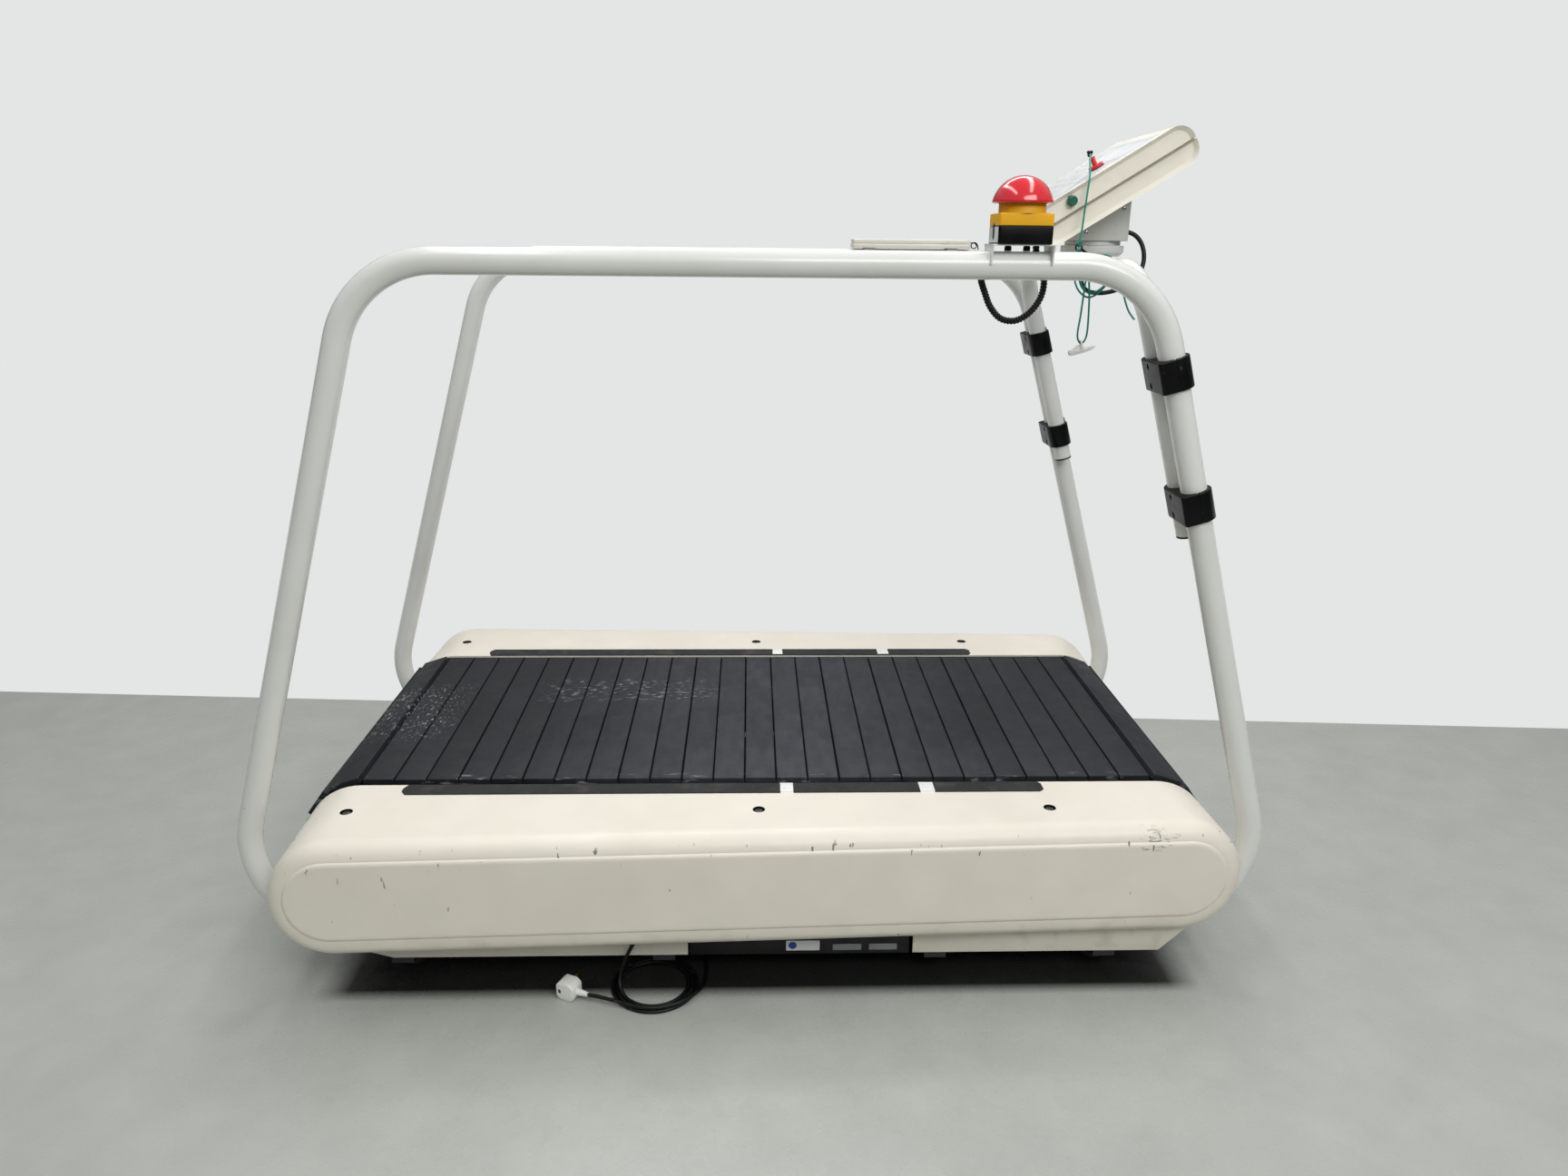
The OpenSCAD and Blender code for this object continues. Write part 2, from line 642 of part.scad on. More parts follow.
module bracket_screws() color("#6d7072")
    for (s = [-1, 1]) for (p = bracket_holes) {
        rod_y(p[0], p[1], 4, s < 0 ? -58.5 : 56, s < 0 ? -56 : 58.5);
        rod_y(p[0], p[1], 2, s < 0 ? -56 : 52, s < 0 ? -52 : 56);
    }

module con_shell(lo, hi) on_console() difference() {
    slab_y(-con_w / 2, con_w / 2) intersection() {
        con_outline(0);
        translate([-100, lo]) square([600, hi - lo]);
    }
    slab_y(-con_w / 2 + 3, con_w / 2 - 3) intersection() {
        con_outline(3);
        translate([-100, lo - 1]) square([600, hi - lo + 2]);
    }
    children();
}

module console_lower_shell() color("#d9d4c6") con_shell(-60, -0.4);

module console_upper_shell() color("#e3dfd3") con_shell(0.4, 60) {
    rod_y(37.6, 19, 9.3, -con_w / 2 - 1, -con_w / 2 + 10);
    translate([126, -60, 20]) cylinder(d = 20.2, h = 20);
    block([8, -138, con_t / 2 - 0.8], [con_u - 8, 138, con_t / 2 + 1]);
}

module console_overlay() color("#f4f5f5") on_console() difference() {
    block([8.5, -137.5, con_t / 2 - 0.8], [con_u - 8.5, 137.5, con_t / 2 + 0.2]);
    translate([126, -60, 20]) cylinder(d = 20.2, h = 20);
}

module start_button() color("#0c6b4e") on_console() {
    rod_y(37.6, 19, 9, -con_w / 2 - 5, -con_w / 2 + 4);
    rod_y(37.6, 19, 11, -con_w / 2 + 4, -con_w / 2 + 6);
}

module key_socket() color("#2a2a2c") on_console() difference() {
    union() {
        translate([126, -60, 22]) cylinder(d = 20, h = con_t / 2 - 21.2);
        translate([126, -60, con_t / 2 + 0.2]) cylinder(d = 30, h = 1);
    }
    translate([126, -60, con_t / 2 - 3]) cylinder(d = 9, h = 8);
}

module safety_key() color("#cf2a33") on_console() translate([126, -60, con_t / 2 + 1.3]) {
    cylinder(d = 28, h = 5);
    translate([0, 0, -4]) cylinder(d = 8.8, h = 4.1);
    translate([0, 0, 4.9]) cylinder(d = 9, h = 12);
    translate([0, 0, 16.8]) cylinder(d = 12, h = 4);
}

// ---------- lanyard and console cable ----------

module lanyard() color("#1f8a73") cord(dense(lanyard_pts, 3), lanyard_d / 2);
module lanyard_tail() color("#1f8a73") cord(dense(tail_pts, 2), lanyard_d / 2);

module lanyard_clip() color("#f2f2f0") translate([590.6, -184, 1118]) rotate([0, -12, 0]) difference() {
    union() {
        block([-24, -6, -4], [24, 6, 4]);
        translate([-1.5, 0, 0]) rotate([90, 0, 90]) linear_extrude(3)
            polygon([[-6, 3], [6, 3], [6, 16], [3, 19], [-3, 19], [-6, 16]]);
    }
    block([-20, -7, -0.7], [25, 7, 0.7]);
    rod_x(0, 13, 2.6, -3, 3);
}

module lanyard_eye() color("#222224") {
    difference() {
        rod_y(arch_x, arch_z, arch_d / 2 + 3, -180, -170);
        rod_y(arch_x, arch_z, arch_d / 2 + 0.05, -181, -169);
    }
    difference() {
        union() {
            rod_y(571, 1297, 7, -178, -172);
            translate([571, -178, 1297]) rotate([0, 40, 0]) block([5, 0, -3], [34, 6, 3]);
        }
        rod_y(571, 1297, 4, -179, -171);
        rod_y(arch_x, arch_z, arch_d / 2 + 1.5, -181, -169);
    }
}

module console_cable() color("#141416") cord(dense(cable_pts, 3), 4.2);

// ---------- emergency stop ----------

module stop_bracket() color("#d6d8d6") difference() {
    union() {
        block([353, -rail_y - 32, 1298.5], [449, -rail_y + 32, 1301]);
        for (x = [353, 446.5]) translate([x, -rail_y, 0]) rotate([90, 0, 90]) linear_extrude(2.5)
            polygon([[-32, 1300], [-26, 1282], [-24.5, 1271], [24.5, 1271], [26, 1282], [32, 1300]]);
    }
    rod_x(-rail_y, rail_z, rail_d / 2 + 0.05, 340, 460);
    for (x = [383, 412]) translate([x, -rail_y, 1290]) cylinder(d = 6.2, h = 20);
    translate([434, -416, 1290]) cylinder(d = 14, h = 20);
}

module stop_screws() color("#151517") for (x = [383, 412]) translate([x, -rail_y, 0]) {
    translate([0, 0, 1290.4]) cylinder(d = 6, h = 10.5);
    translate([0, 0, 1290.4]) cylinder(d = 11, h = 8);
}

module stop_base() color("#121214") difference() {
    block([stop_x - 41.5, -rail_y - 36, 1301], [stop_x + 41.5, -rail_y + 36, 1326.8]);
    block([stop_x - 38.5, -rail_y - 33, 1304], [stop_x + 38.5, -rail_y + 33, 1328]);
    translate([434, -416, 1290]) cylinder(d = 9.9, h = 20);
    rod_x(-rail_y, 1321, 10, stop_x - 42, stop_x - 38);
}

module stop_lid() color("#f0b01e") difference() {
    union() {
        block([stop_x - 41.5, -rail_y - 36, 1327], [stop_x + 41.5, -rail_y + 36, 1345]);
        translate([stop_x, -rail_y, 1344.9]) cylinder(d = 71, h = 16.4);
    }
    rod_x(-rail_y, 1321, 10, stop_x - 42, stop_x - 38);
    block([stop_x - 38.5, -rail_y - 33, 1326], [stop_x + 38.5, -rail_y + 33, 1342]);
    translate([stop_x, -rail_y, 1340]) cylinder(d = 22.1, h = 25);
}

module stop_dome() color("#d8203c") translate([stop_x, -rail_y, 0]) {
    difference() {
        translate([0, 0, 1353.5]) sphere(r = dome_d / 2 + 0.5, $fn = 96);
        translate([0, 0, 1300]) cylinder(d = 120, h = 60);
        translate([0, 0, 1359]) cylinder(d = 76, h = 9);
    }
    translate([0, 0, 1329]) cylinder(d = 22, h = 40);
}

module stop_conduit() color("#1b1b1d") cord(dense(conduit_pts, 3), 5.5, 10);

module accessory_box() color("#e4e0d2") difference() {
    union() {
        block([222, rail_y - 30, 1292], [493.5, rail_y + 30, 1311]);
        for (x = [250, 440]) block([x, rail_y - 18, 1284], [x + 25, rail_y + 18, 1292.1]);
    }
    rod_x(rail_y, rail_z, rail_d / 2 + 0.05, 200, 520);
}

module accessory_lead() color("#141416") cord(dense(boxlead_pts, 3), 1.3);

// ---------- mains ----------

// elbow on the outer face of the rear skirt, its strain relief pointing down the feed
module mains_gland() color("#161618") difference() {
    union() {
        block([-223, -495, 114], [-197, -478, 134]);
        translate([-218, -487, 98]) rotate([0, 24.7, 0]) cylinder(d1 = lead_d + 3, d2 = 15, h = 27);
    }
    translate([-218, -487, 98]) rotate([0, 24.7, 0]) translate([0, 0, -1])
        cylinder(d = lead_d + 0.1, h = 20);
}

module mains_lead() color("#131315")
    cord(concat(feed_pts, turn_pts, back_pts), lead_d / 2);

module at_plug() translate(plug_o) rotate([0, 0, plug_turn]) children();

module mains_plug() color("#f1f1ef") at_plug() difference() {
    union() {
        slab_y(-15, 15) polygon([[-18, 6], [-11, 0], [12, 0], [18, 7], [18, 26], [9, 34],
            [-12, 34], [-18, 29]]);
        translate([17.9, 0, 15]) rotate([0, 90, 0]) cylinder(d1 = 13, d2 = lead_d + 2, h = 22.1);
    }
    block([-14, -16, 12], [-8, -13.5, 20]);
}

module plug_pins() color("#b08d3c") at_plug() {
    block([-11, 15, 7], [-7, 32, 12]);
    block([7, 15, 7], [11, 32, 12]);
    block([-2, 15, 21], [2, 37, 29]);
}

base_frame();
levelling_feet();
deck_frame();
guide_rollers();
slat_treads();
slat_beams();
carrier_belts();
front_shaft();
front_pulleys();
rear_shaft();
rear_pulleys();
bearing_housings();
drive_motor();
motor_pulley();
shaft_pulley();
drive_belt();
control_box();
panel_plates();
near_skirts();
far_skirt();
near_cover();
far_cover();
cover_screws();
foot_strips();
tape_marks();
near_handrail();
far_handrail();
rail_sockets();
console_arch();
arch_end_caps();
arch_clamps();
clamp_backs();
clamp_screws();
turntable_base();
turntable_disc();
wedge_bracket();
bracket_screws();
console_lower_shell();
console_upper_shell();
console_overlay();
start_button();
key_socket();
safety_key();
lanyard();
lanyard_tail();
lanyard_clip();
lanyard_eye();
console_cable();
stop_bracket();
stop_screws();
stop_base();
stop_lid();
stop_dome();
stop_conduit();
accessory_box();
accessory_lead();
mains_gland();
mains_lead();
mains_plug();
plug_pins();
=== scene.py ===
"""Looks for the slat-belt treadmill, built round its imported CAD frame.

Sizes are in millimetres in the code, as in the part's source, and metres in Blender."""

import random
from collections import namedtuple
from math import cos, hypot, pi, radians, sin, sqrt, tan

import bmesh
import bpy
from mathutils import Color, Matrix, Vector


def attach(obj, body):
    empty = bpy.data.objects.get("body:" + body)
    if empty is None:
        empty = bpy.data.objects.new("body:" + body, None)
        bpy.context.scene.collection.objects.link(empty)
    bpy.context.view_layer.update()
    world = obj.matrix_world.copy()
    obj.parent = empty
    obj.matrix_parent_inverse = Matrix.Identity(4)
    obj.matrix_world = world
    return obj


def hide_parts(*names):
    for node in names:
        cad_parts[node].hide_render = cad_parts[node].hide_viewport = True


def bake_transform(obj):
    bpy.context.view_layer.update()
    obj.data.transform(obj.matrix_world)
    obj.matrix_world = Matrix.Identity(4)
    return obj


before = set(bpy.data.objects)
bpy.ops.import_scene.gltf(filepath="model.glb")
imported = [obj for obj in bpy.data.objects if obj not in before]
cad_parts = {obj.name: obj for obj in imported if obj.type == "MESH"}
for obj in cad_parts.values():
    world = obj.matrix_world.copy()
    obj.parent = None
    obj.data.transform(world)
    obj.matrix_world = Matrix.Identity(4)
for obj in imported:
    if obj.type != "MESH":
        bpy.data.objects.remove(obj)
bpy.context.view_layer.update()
rng = random.Random(7)
MM = 0.001
scene = bpy.context.scene


def add_object(name, data):
    made = bpy.data.objects.new(name, data)
    scene.collection.objects.link(made)
    return made


def finished_mesh(helper):
    """The mesh that a helper object's curve or modifiers give; the helper is then removed."""
    graph = bpy.context.evaluated_depsgraph_get()
    mesh = bpy.data.meshes.new_from_object(helper.evaluated_get(graph))
    bpy.data.objects.remove(helper)
    return mesh


# ---------- camera ----------

CAMERA_AT = Vector((-0.0125, -2.1852, 1.2963))
PAN, TILT, ROLL = 0.0327284, 0.3051249, 0.00998489
LENS, SENSOR = 25.004, 36

camera = add_object("camera", bpy.data.cameras.new("camera"))
camera.data.lens, camera.data.sensor_width, camera.data.clip_end = LENS, SENSOR, 100
camera.matrix_world = (
    Matrix.Translation(CAMERA_AT) @ Matrix.Rotation(-PAN, 4, "Z")
    @ Matrix.Rotation(pi / 2 - TILT, 4, "X") @ Matrix.Rotation(ROLL, 4, "Z")
)
scene.camera = camera

# ---------- shape tools ----------


def shift(x, y, z):
    return Matrix.Translation((x, y, z))


def turn(angle, axis):
    return Matrix.Rotation(radians(angle), 4, axis)


FLIP_Y = Matrix.Diagonal((1, -1, 1, 1))
LOBE_DEPTH = 0.12  # how far the grooves of a rope go in, as a share of its radius
UPRIGHT = turn(90, "X")  # an outline drawn in X-Y stands up in X-Z
ALONG_X = Matrix(((0, 0, 1, 0), (1, 0, 0, 0), (0, 1, 0, 0), (0, 0, 0, 1)))  # an outline in Y-Z, thick along X


class Shape:
    """Collects parts of one piece, in millimetres."""

    def __init__(self):
        self.bm = bmesh.new()

    def mesh_in(self, mesh, matrix=None):
        base = len(self.bm.verts)
        self.bm.from_mesh(mesh)
        self.bm.verts.ensure_lookup_table()
        if matrix:
            bmesh.ops.transform(self.bm, matrix=matrix, verts=self.bm.verts[base:])
        bpy.data.meshes.remove(mesh)
        return self

    def copy_of(self, other, matrix):
        mesh = bpy.data.meshes.new("copy")
        other.bm.to_mesh(mesh)
        return self.mesh_in(mesh, matrix)

    def box(self, low, high, bevel=1.0, steps=2, matrix=None):
        part = Shape()
        low, high = Vector(low), Vector(high)
        bmesh.ops.create_cube(part.bm, size=1, matrix=Matrix.LocRotScale((low + high) / 2, None, high - low))
        bmesh.ops.bevel(
            part.bm, geom=list(part.bm.edges), offset=bevel, segments=steps, profile=0.5, affect="EDGES"
        )
        return self.copy_of(part, matrix)

    def loft(self, rings, matrix=None, open_start=False):
        """A skin over rings of equally many points, each ring closed, and over the first and last ring."""
        n = len(rings[0])
        points = [p for ring in rings for p in ring]
        made = [self.bm.verts.new(matrix @ Vector(p) if matrix else p) for p in points]
        for base in range(0, len(points) - n, n):
            for k in range(n):
                m = (k + 1) % n
                self.bm.faces.new([made[base + i] for i in (k, m, n + m, n + k)])
        if not open_start:
            self.bm.faces.new(made[n - 1::-1])
        self.bm.faces.new(made[-n:])
        return self

    def lathe(self, profile, matrix=None, steps=48, wave=None):
        """Turns (radius, height) points round Z; wave(angle, index) scales the radius."""
        angles = [2 * pi * i / steps for i in range(steps)]
        rings = []
        for k, (r, z) in enumerate(profile):
            sizes = [r * wave(a, k) if wave else r for a in angles]
            rings.append([(size * cos(a), size * sin(a), z) for a, size in zip(angles, sizes)])
        part = Shape().loft(rings)
        bmesh.ops.remove_doubles(part.bm, verts=part.bm.verts, dist=0.0005)
        return self.copy_of(part, matrix)

    def prism(self, loops, low, high, bevel=0.8, steps=2, matrix=None):
        """An outline, with holes as further loops, thick from low to high along its own Z."""
        curve = bpy.data.curves.new("prism", "CURVE")
        curve.dimensions, curve.fill_mode = "2D", "BOTH"
        curve.extrude = (high - low) / 2 - bevel
        curve.bevel_depth, curve.offset, curve.bevel_resolution = bevel, -bevel, steps
        for loop in loops:
            spline = curve.splines.new("POLY")
            spline.points.add(len(loop) - 1)
            for point, (x, y) in zip(spline.points, loop):
                point.co = (x, y, 0, 1)
            spline.use_cyclic_u = True
        part = Shape().mesh_in(finished_mesh(add_object("prism", curve)), shift(0, 0, (low + high) / 2))
        bpy.data.curves.remove(curve)
        bmesh.ops.remove_doubles(part.bm, verts=part.bm.verts, dist=0.002)
        return self.copy_of(part, matrix)

    def tube(self, path, radius, sides=24, lobes=0, twist=10.0, rib=None, matrix=None):
        """A round tube along a path; lobes twist it like a rope, rib scales it by its length so far."""
        points = [Vector(p) for p in path]
        n = len(points)
        tangents = [(points[min(i + 1, n - 1)] - points[max(i - 1, 0)]).normalized() for i in range(n)]
        side = tangents[0].cross(Vector((0, 0, 1) if abs(tangents[0].z) < 0.8 else (0, 1, 0))).normalized()
        rings, gone = [], 0.0
        for i, (p, t) in enumerate(zip(points, tangents)):
            if i:
                gone += (p - points[i - 1]).length
                side = (side - t * side.dot(t)).normalized()
            other = t.cross(side)
            r = radius * (rib(gone) if rib else 1)
            ring = []
            for k in range(sides):
                a = 2 * pi * k / sides
                groove = 1 - abs(cos(lobes / 2 * (a - 2 * pi * gone / twist))) if lobes else 0
                ring.append(p + r * (1 - LOBE_DEPTH * groove) * (cos(a) * side + sin(a) * other))
            rings.append(ring)
        return self.loft(rings, matrix)

    def cut(self, *tools):
        """Takes each tool shape away, one after another."""
        for tool in tools:
            body, knife = (add_object("cut", shape.to_mesh("cut")) for shape in (self, tool))
            knife.hide_render = True
            change = body.modifiers.new("cut", "BOOLEAN")
            change.operation, change.solver, change.object = "DIFFERENCE", "EXACT", knife
            mesh = finished_mesh(body)
            bpy.data.objects.remove(knife)
            self.bm.free()
            self.bm = bmesh.new()
            self.mesh_in(mesh)
        return self

    def to_mesh(self, name):
        bmesh.ops.recalc_face_normals(self.bm, faces=self.bm.faces)
        mesh = bpy.data.meshes.new(name)
        self.bm.to_mesh(mesh)
        return mesh

    def done(self, name, paint, node=None, body="frame", slot=None, angle=35):
        """Makes the piece in metres, riding on a CAD body if one is given; the slot
        argument is not used."""
        bmesh.ops.delete(self.bm, geom=[v for v in self.bm.verts if not v.link_faces], context="VERTS")
        mesh = self.to_mesh(name)
        mesh.transform(Matrix.Scale(MM, 4))
        self.bm.free()
        mesh.shade_smooth()
        mesh.set_sharp_from_angle(angle=radians(angle))
        mesh.materials.append(paints[paint])
        piece = add_object(name, mesh)
        if body:
            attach(piece, body)
        if node:
            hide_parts(node)
        return piece


def arc(cx, cy, r, start, end, steps=12):
    """Points on an arc, angles in degrees."""
    turns = [radians(start + (end - start) * i / steps) for i in range(steps + 1)]
    return [(cx + r * cos(a), cy + r * sin(a)) for a in turns]


def round_rect(x0, y0, x1, y1, r, steps=5):
    corners = ((x1 - r, y1 - r, 0), (x0 + r, y1 - r, 90), (x0 + r, y0 + r, 180), (x1 - r, y0 + r, 270))
    return [p for cx, cy, a in corners for p in arc(cx, cy, r, a, a + 90, steps)]


def mirrored(points):
    """The points of one side, then the same points mirrored in X and in reverse order."""
    return points + [(-x, y) for x, y in reversed(points)]


def smooth(points, n, step):
    """Catmull-Rom curve through the points, n steps between each pair, resampled about one step apart."""
    p = [Vector(q) for q in points]
    path = []
    for i in range(len(p) - 1):
        a, b, c, d = p[max(i - 1, 0)], p[i], p[i + 1], p[min(i + 2, len(p) - 1)]
        for t in (k / n for k in range(n)):
            square, cube = 2 * a - 5 * b + 4 * c - d, 3 * b - a - 3 * c + d
            path.append(0.5 * (2 * b + (c - a) * t + square * t * t + cube * t**3))
    path.append(p[-1])
    out, left = [path[0]], step
    for a, b in zip(path, path[1:]):
        span = (b - a).length
        while span > left:
            a = a.lerp(b, left / span)
            out.append(a)
            span -= left
            left = step
        left -= span
    if (out[-1] - path[-1]).length <= step / 2:
        out.pop()
    return out + [path[-1]]


# ---------- materials ----------


def srgb(r, g, b):
    """Linear colour from 0-255 display values."""
    return (*Color((r / 255, g / 255, b / 255)).from_srgb_to_scene_linear(), 1)


class Nodes:
    """Adds nodes to a tree, each with its values and links."""

    def __init__(self, tree, place="Object"):
        self.tree = tree
        self.place = self.new("ShaderNodeTexCoord").outputs[place]
        self.shader = tree.nodes.get("Principled BSDF")

    def new(self, kind, inputs=None, **settings):
        node = self.tree.nodes.new(kind)
        for key, value in settings.items():
            setattr(node, key, value)
        for key, value in (inputs or {}).items():
            self.put(value, node.inputs[key])
        return node

    def put(self, value, socket):
        """Links another node's output to the socket, or sets the socket's own value."""
        if isinstance(value, bpy.types.NodeSocket):
            self.tree.links.new(value, socket)
        else:
            socket.default_value = value

    def axis(self, name):
        return self.new("ShaderNodeSeparateXYZ", {0: self.place}).outputs[name]

    def maths(self, operation, a, b=0.0):
        return self.new("ShaderNodeMath", {0: a, 1: b}, operation=operation).outputs[0]

    def vector(self, operation, a, b):
        return self.new("ShaderNodeVectorMath", {0: a, 1: b}, operation=operation).outputs[0]

    def mixed(self, factor, a, b):
        return self.new("ShaderNodeMix", {"Factor": factor, 6: a, 7: b}, data_type="RGBA").outputs[2]

    def ranged(self, value, low, high, to_low=0.0, to_high=1.0):
        inputs = {"Value": value, "From Min": low, "From Max": high, "To Min": to_low, "To Max": to_high}
        return self.new("ShaderNodeMapRange", inputs).outputs["Result"]

    def noise(self, size, seed, detail=4, stretch=(1, 1, 1), spin=(0, 0, 0)):
        at = self.new("ShaderNodeMapping", {
            "Vector": self.place, "Location": (seed * 1.37, seed * 0.71, seed * 2.11),
            "Rotation": [radians(a) for a in spin], "Scale": stretch,
        })
        inputs = {"Vector": at.outputs["Vector"], "Scale": 1 / size, "Detail": detail}
        return self.new("ShaderNodeTexNoise", inputs).outputs["Fac"]

    def bumped(self, size, strength, depth, seed, detail, under=None):
        """A bumped surface of that grain size, over the one under it."""
        inputs = {"Strength": strength, "Distance": size * depth, "Height": self.noise(size, seed, detail)}
        if under:
            inputs["Normal"] = under
        return self.new("ShaderNodeBump", inputs).outputs["Normal"]


# One layer of marks (wear, and on the slats' ends painted shade): noise of that grain size in metres, shown
# between low and high, inside the window that where gives as ramps (axis, from, to), and with its own change
# of roughness.
Mark = namedtuple("Mark", "colour size low high amount seed stretch spin where gloss",
                  defaults=((1, 1, 1), (0, 0, 0), (), 0))
paints = {}


def material(name, colour, rough, grain, bump, tint, *marks, metal=0, coat=0, rough_vary=0.08, lumps=None,
             specular=0.5):
    """Colour with soft mottling, layers of wear and of painted shade, uneven gloss and a bumped grain, sizes
    in metres.
    """
    paints[name] = bpy.data.materials.new(name)
    paints[name].use_nodes = True
    nodes = Nodes(paints[name].node_tree)
    base = srgb(*colour)[:3]
    dark, light = [(*(min(1, c * (1 + s * 2.2 * tint)) for c in base), 1) for s in (-1, 1)]
    shade = nodes.mixed(nodes.ranged(nodes.noise(0.09, 3), 0.3, 0.7), dark, light)
    gloss = nodes.ranged(nodes.noise(0.03, 5), 0.3, 0.7, rough - rough_vary, rough + rough_vary)
    for m in marks:
        spots = nodes.ranged(nodes.noise(m.size, m.seed, 5, m.stretch, m.spin), m.low, m.high, 0, m.amount)
        for axis, low, high in m.where:
            spots = nodes.maths("MULTIPLY", spots, nodes.ranged(nodes.axis(axis), low, high))
        shade = nodes.mixed(spots, shade, srgb(*m.colour))
        if m.gloss:
            gloss = nodes.maths("ADD", gloss, nodes.maths("MULTIPLY", spots, m.gloss))
    wide = nodes.bumped(*lumps, 0.2, 11, 2) if lumps else None
    sockets = {
        "Base Color": shade, "Roughness": gloss, "Normal": nodes.bumped(grain, bump, 0.5, 9, 3, wide),
        "Metallic": metal, "Coat Weight": coat, "Coat Roughness": 0.08, "Specular IOR Level": specular,
    }
    for key, value in sockets.items():
        nodes.put(value, nodes.shader.inputs[key])


def patchwork(name, step, offset, amount, seed):
    """Varies a material's colour from cell to cell of the given step."""
    nodes = Nodes(paints[name].node_tree)
    cell = nodes.vector("SNAP", nodes.vector("ADD", nodes.place, offset), step)
    chance = nodes.new("ShaderNodeTexWhiteNoise", {"Vector": cell, "W": seed}, noise_dimensions="4D")
    scale = nodes.ranged(chance.outputs["Value"], 0, 1, 1 - amount, 1 + amount)
    base = nodes.shader.inputs["Base Color"]
    colour = base.links[0].from_socket
    tint = nodes.new("ShaderNodeVectorMath", {0: colour, "Scale": scale}, operation="SCALE")
    nodes.put(tint.outputs[0], base)


SOOT, GRIME, CHALK = (40, 38, 34), (150, 140, 112), (196, 198, 200)

COVER_WEAR = [
    Mark((222, 214, 194), 0.22, 0.45, 0.8, 0.4, 1),
    Mark(GRIME, 0.05, 0.55, 0.85, 0.45, 2, where=[("Z", 0.17, 0.11)]),
    Mark(SOOT, 0.014, 0.675, 0.69, 0.75, 6, stretch=(1.6, 1, 0.45), spin=(0, 30, 0),
         where=[("Z", 0.278, 0.286), ("Z", 0.318, 0.308)]),
    Mark(SOOT, 0.013, 0.725, 0.735, 0.55, 14, stretch=(1.6, 1, 0.4), spin=(0, 28, 0),
         where=[("Z", 0.285, 0.27)]),
    Mark(SOOT, 0.007, 0.56, 0.66, 0.75, 15, stretch=(0.4, 1, 1.5),
         where=[("X", 0.67, 0.69), ("X", 0.75, 0.73), ("Z", 0.278, 0.288), ("Y", -0.49, -0.51)]),
]

material("cream_cover", (231, 225, 212), 0.4, 0.0012, 0.12, 0.012, *COVER_WEAR, lumps=(0.09, 0.12))
material("cream_skirt", (226, 221, 207), 0.45, 0.001, 0.15, 0.015, *COVER_WEAR[:2], lumps=(0.08, 0.15))
material(
    "tread_rubber", (49, 51, 56), 0.55, 0.0011, 0.5, 0.05,
    Mark((62, 64, 69), 0.06, 0.42, 0.7, 0.6, 1, stretch=(3, 1, 1)),
    Mark((38, 42, 52), 0.08, 0.5, 0.68, 0.7, 2, stretch=(2.5, 1, 1), spin=(0, 0, 4)),
    Mark((104, 105, 108), 0.012, 0.66, 0.76, 0.4, 3, stretch=(1, 0.5, 1), spin=(0, 0, 30)),
    # Painted shade: the next two near-black layers ramp in by X and darken both ends of the slats, standing
    # in for the sheen that lights only the middle of the belt.
    Mark((19, 20, 24), 0.3, 0.1, 0.3, 0.75, 7, where=[("X", -0.1, -0.45)]),
    Mark((19, 20, 24), 0.3, 0.1, 0.3, 0.6, 8, where=[("X", 0.2, 0.5)]),
    Mark(CHALK, 0.007, 0.56, 0.72, 0.45, 4, stretch=(0.4, 1, 1), spin=(0, 0, 6),
         where=[("X", -0.5, -0.44), ("X", -0.06, -0.14), ("Y", 0.04, 0.07), ("Y", 0.19, 0.15)]),
    Mark(CHALK, 0.006, 0.56, 0.72, 0.5, 6, stretch=(1, 0.5, 1), spin=(0, 0, -20),
         where=[("X", -0.62, -0.67), ("Y", -0.16, -0.1), ("Y", 0.16, 0.1)]),
    Mark(CHALK, 0.012, 0.6, 0.7, 0.4, 5, stretch=(0.3, 1, 1), where=[("Y", -0.29, -0.312)]),
    lumps=(0.02, 0.15), specular=0.35,
)
SLAT_CELL, CELL_START = 0.06, 6.0225  # cells start well below zero, in step with the slats
patchwork("tread_rubber", (SLAT_CELL, 9, 9), (CELL_START, 4.5, 4.5), 0.1, 1)
patchwork("tread_rubber", (SLAT_CELL, 0.16, 9), (CELL_START, 4.51, 4.5), 0.13, 2)
material("belt_rubber", (24, 25, 27), 0.6, 0.001, 0.4, 0.08, Mark((70, 68, 64), 0.02, 0.6, 0.8, 0.35, 2))
material(
    "tube_white", (224, 225, 221), 0.24, 0.0016, 0.03, 0.006,
    Mark((104, 100, 92), 0.009, 0.765, 0.78, 0.7, 2, stretch=(0.6, 1, 1), spin=(0, 30, 0)),
    Mark((206, 203, 194), 0.2, 0.5, 0.8, 0.3, 3),
    coat=0.2, rough_vary=0.03,
)
material(
    "black_plastic", (9, 9, 10), 0.34, 0.0008, 0.25, 0.08,
    Mark((72, 72, 74), 0.008, 0.66, 0.74, 0.4, 1),
    Mark((90, 88, 84), 0.02, 0.7, 0.74, 0.35, 3, stretch=(0.2, 1, 1), spin=(0, 40, 0)),
    specular=0.18,
)
material("black_sheet", (9, 9, 10), 0.55, 0.001, 0.4, 0.1, Mark((74, 70, 62), 0.06, 0.55, 0.8, 0.3, 2))
material("cable_black", (10, 10, 11), 0.36, 0.0008, 0.25, 0.1,
         Mark((86, 84, 78), 0.012, 0.6, 0.75, 0.3, 3), specular=0.3)
material(
    "frame_black", (38, 39, 42), 0.45, 0.001, 0.35, 0.08,
    Mark((110, 104, 94), 0.05, 0.6, 0.8, 0.35, 1),
    Mark((112, 78, 52), 0.01, 0.7, 0.78, 0.5, 2),
)
material("screw_steel", (196, 198, 200), 0.22, 0.0006, 0.12, 0.05,
         Mark((110, 104, 96), 0.003, 0.58, 0.72, 0.5, 2, gloss=0.3), metal=1)
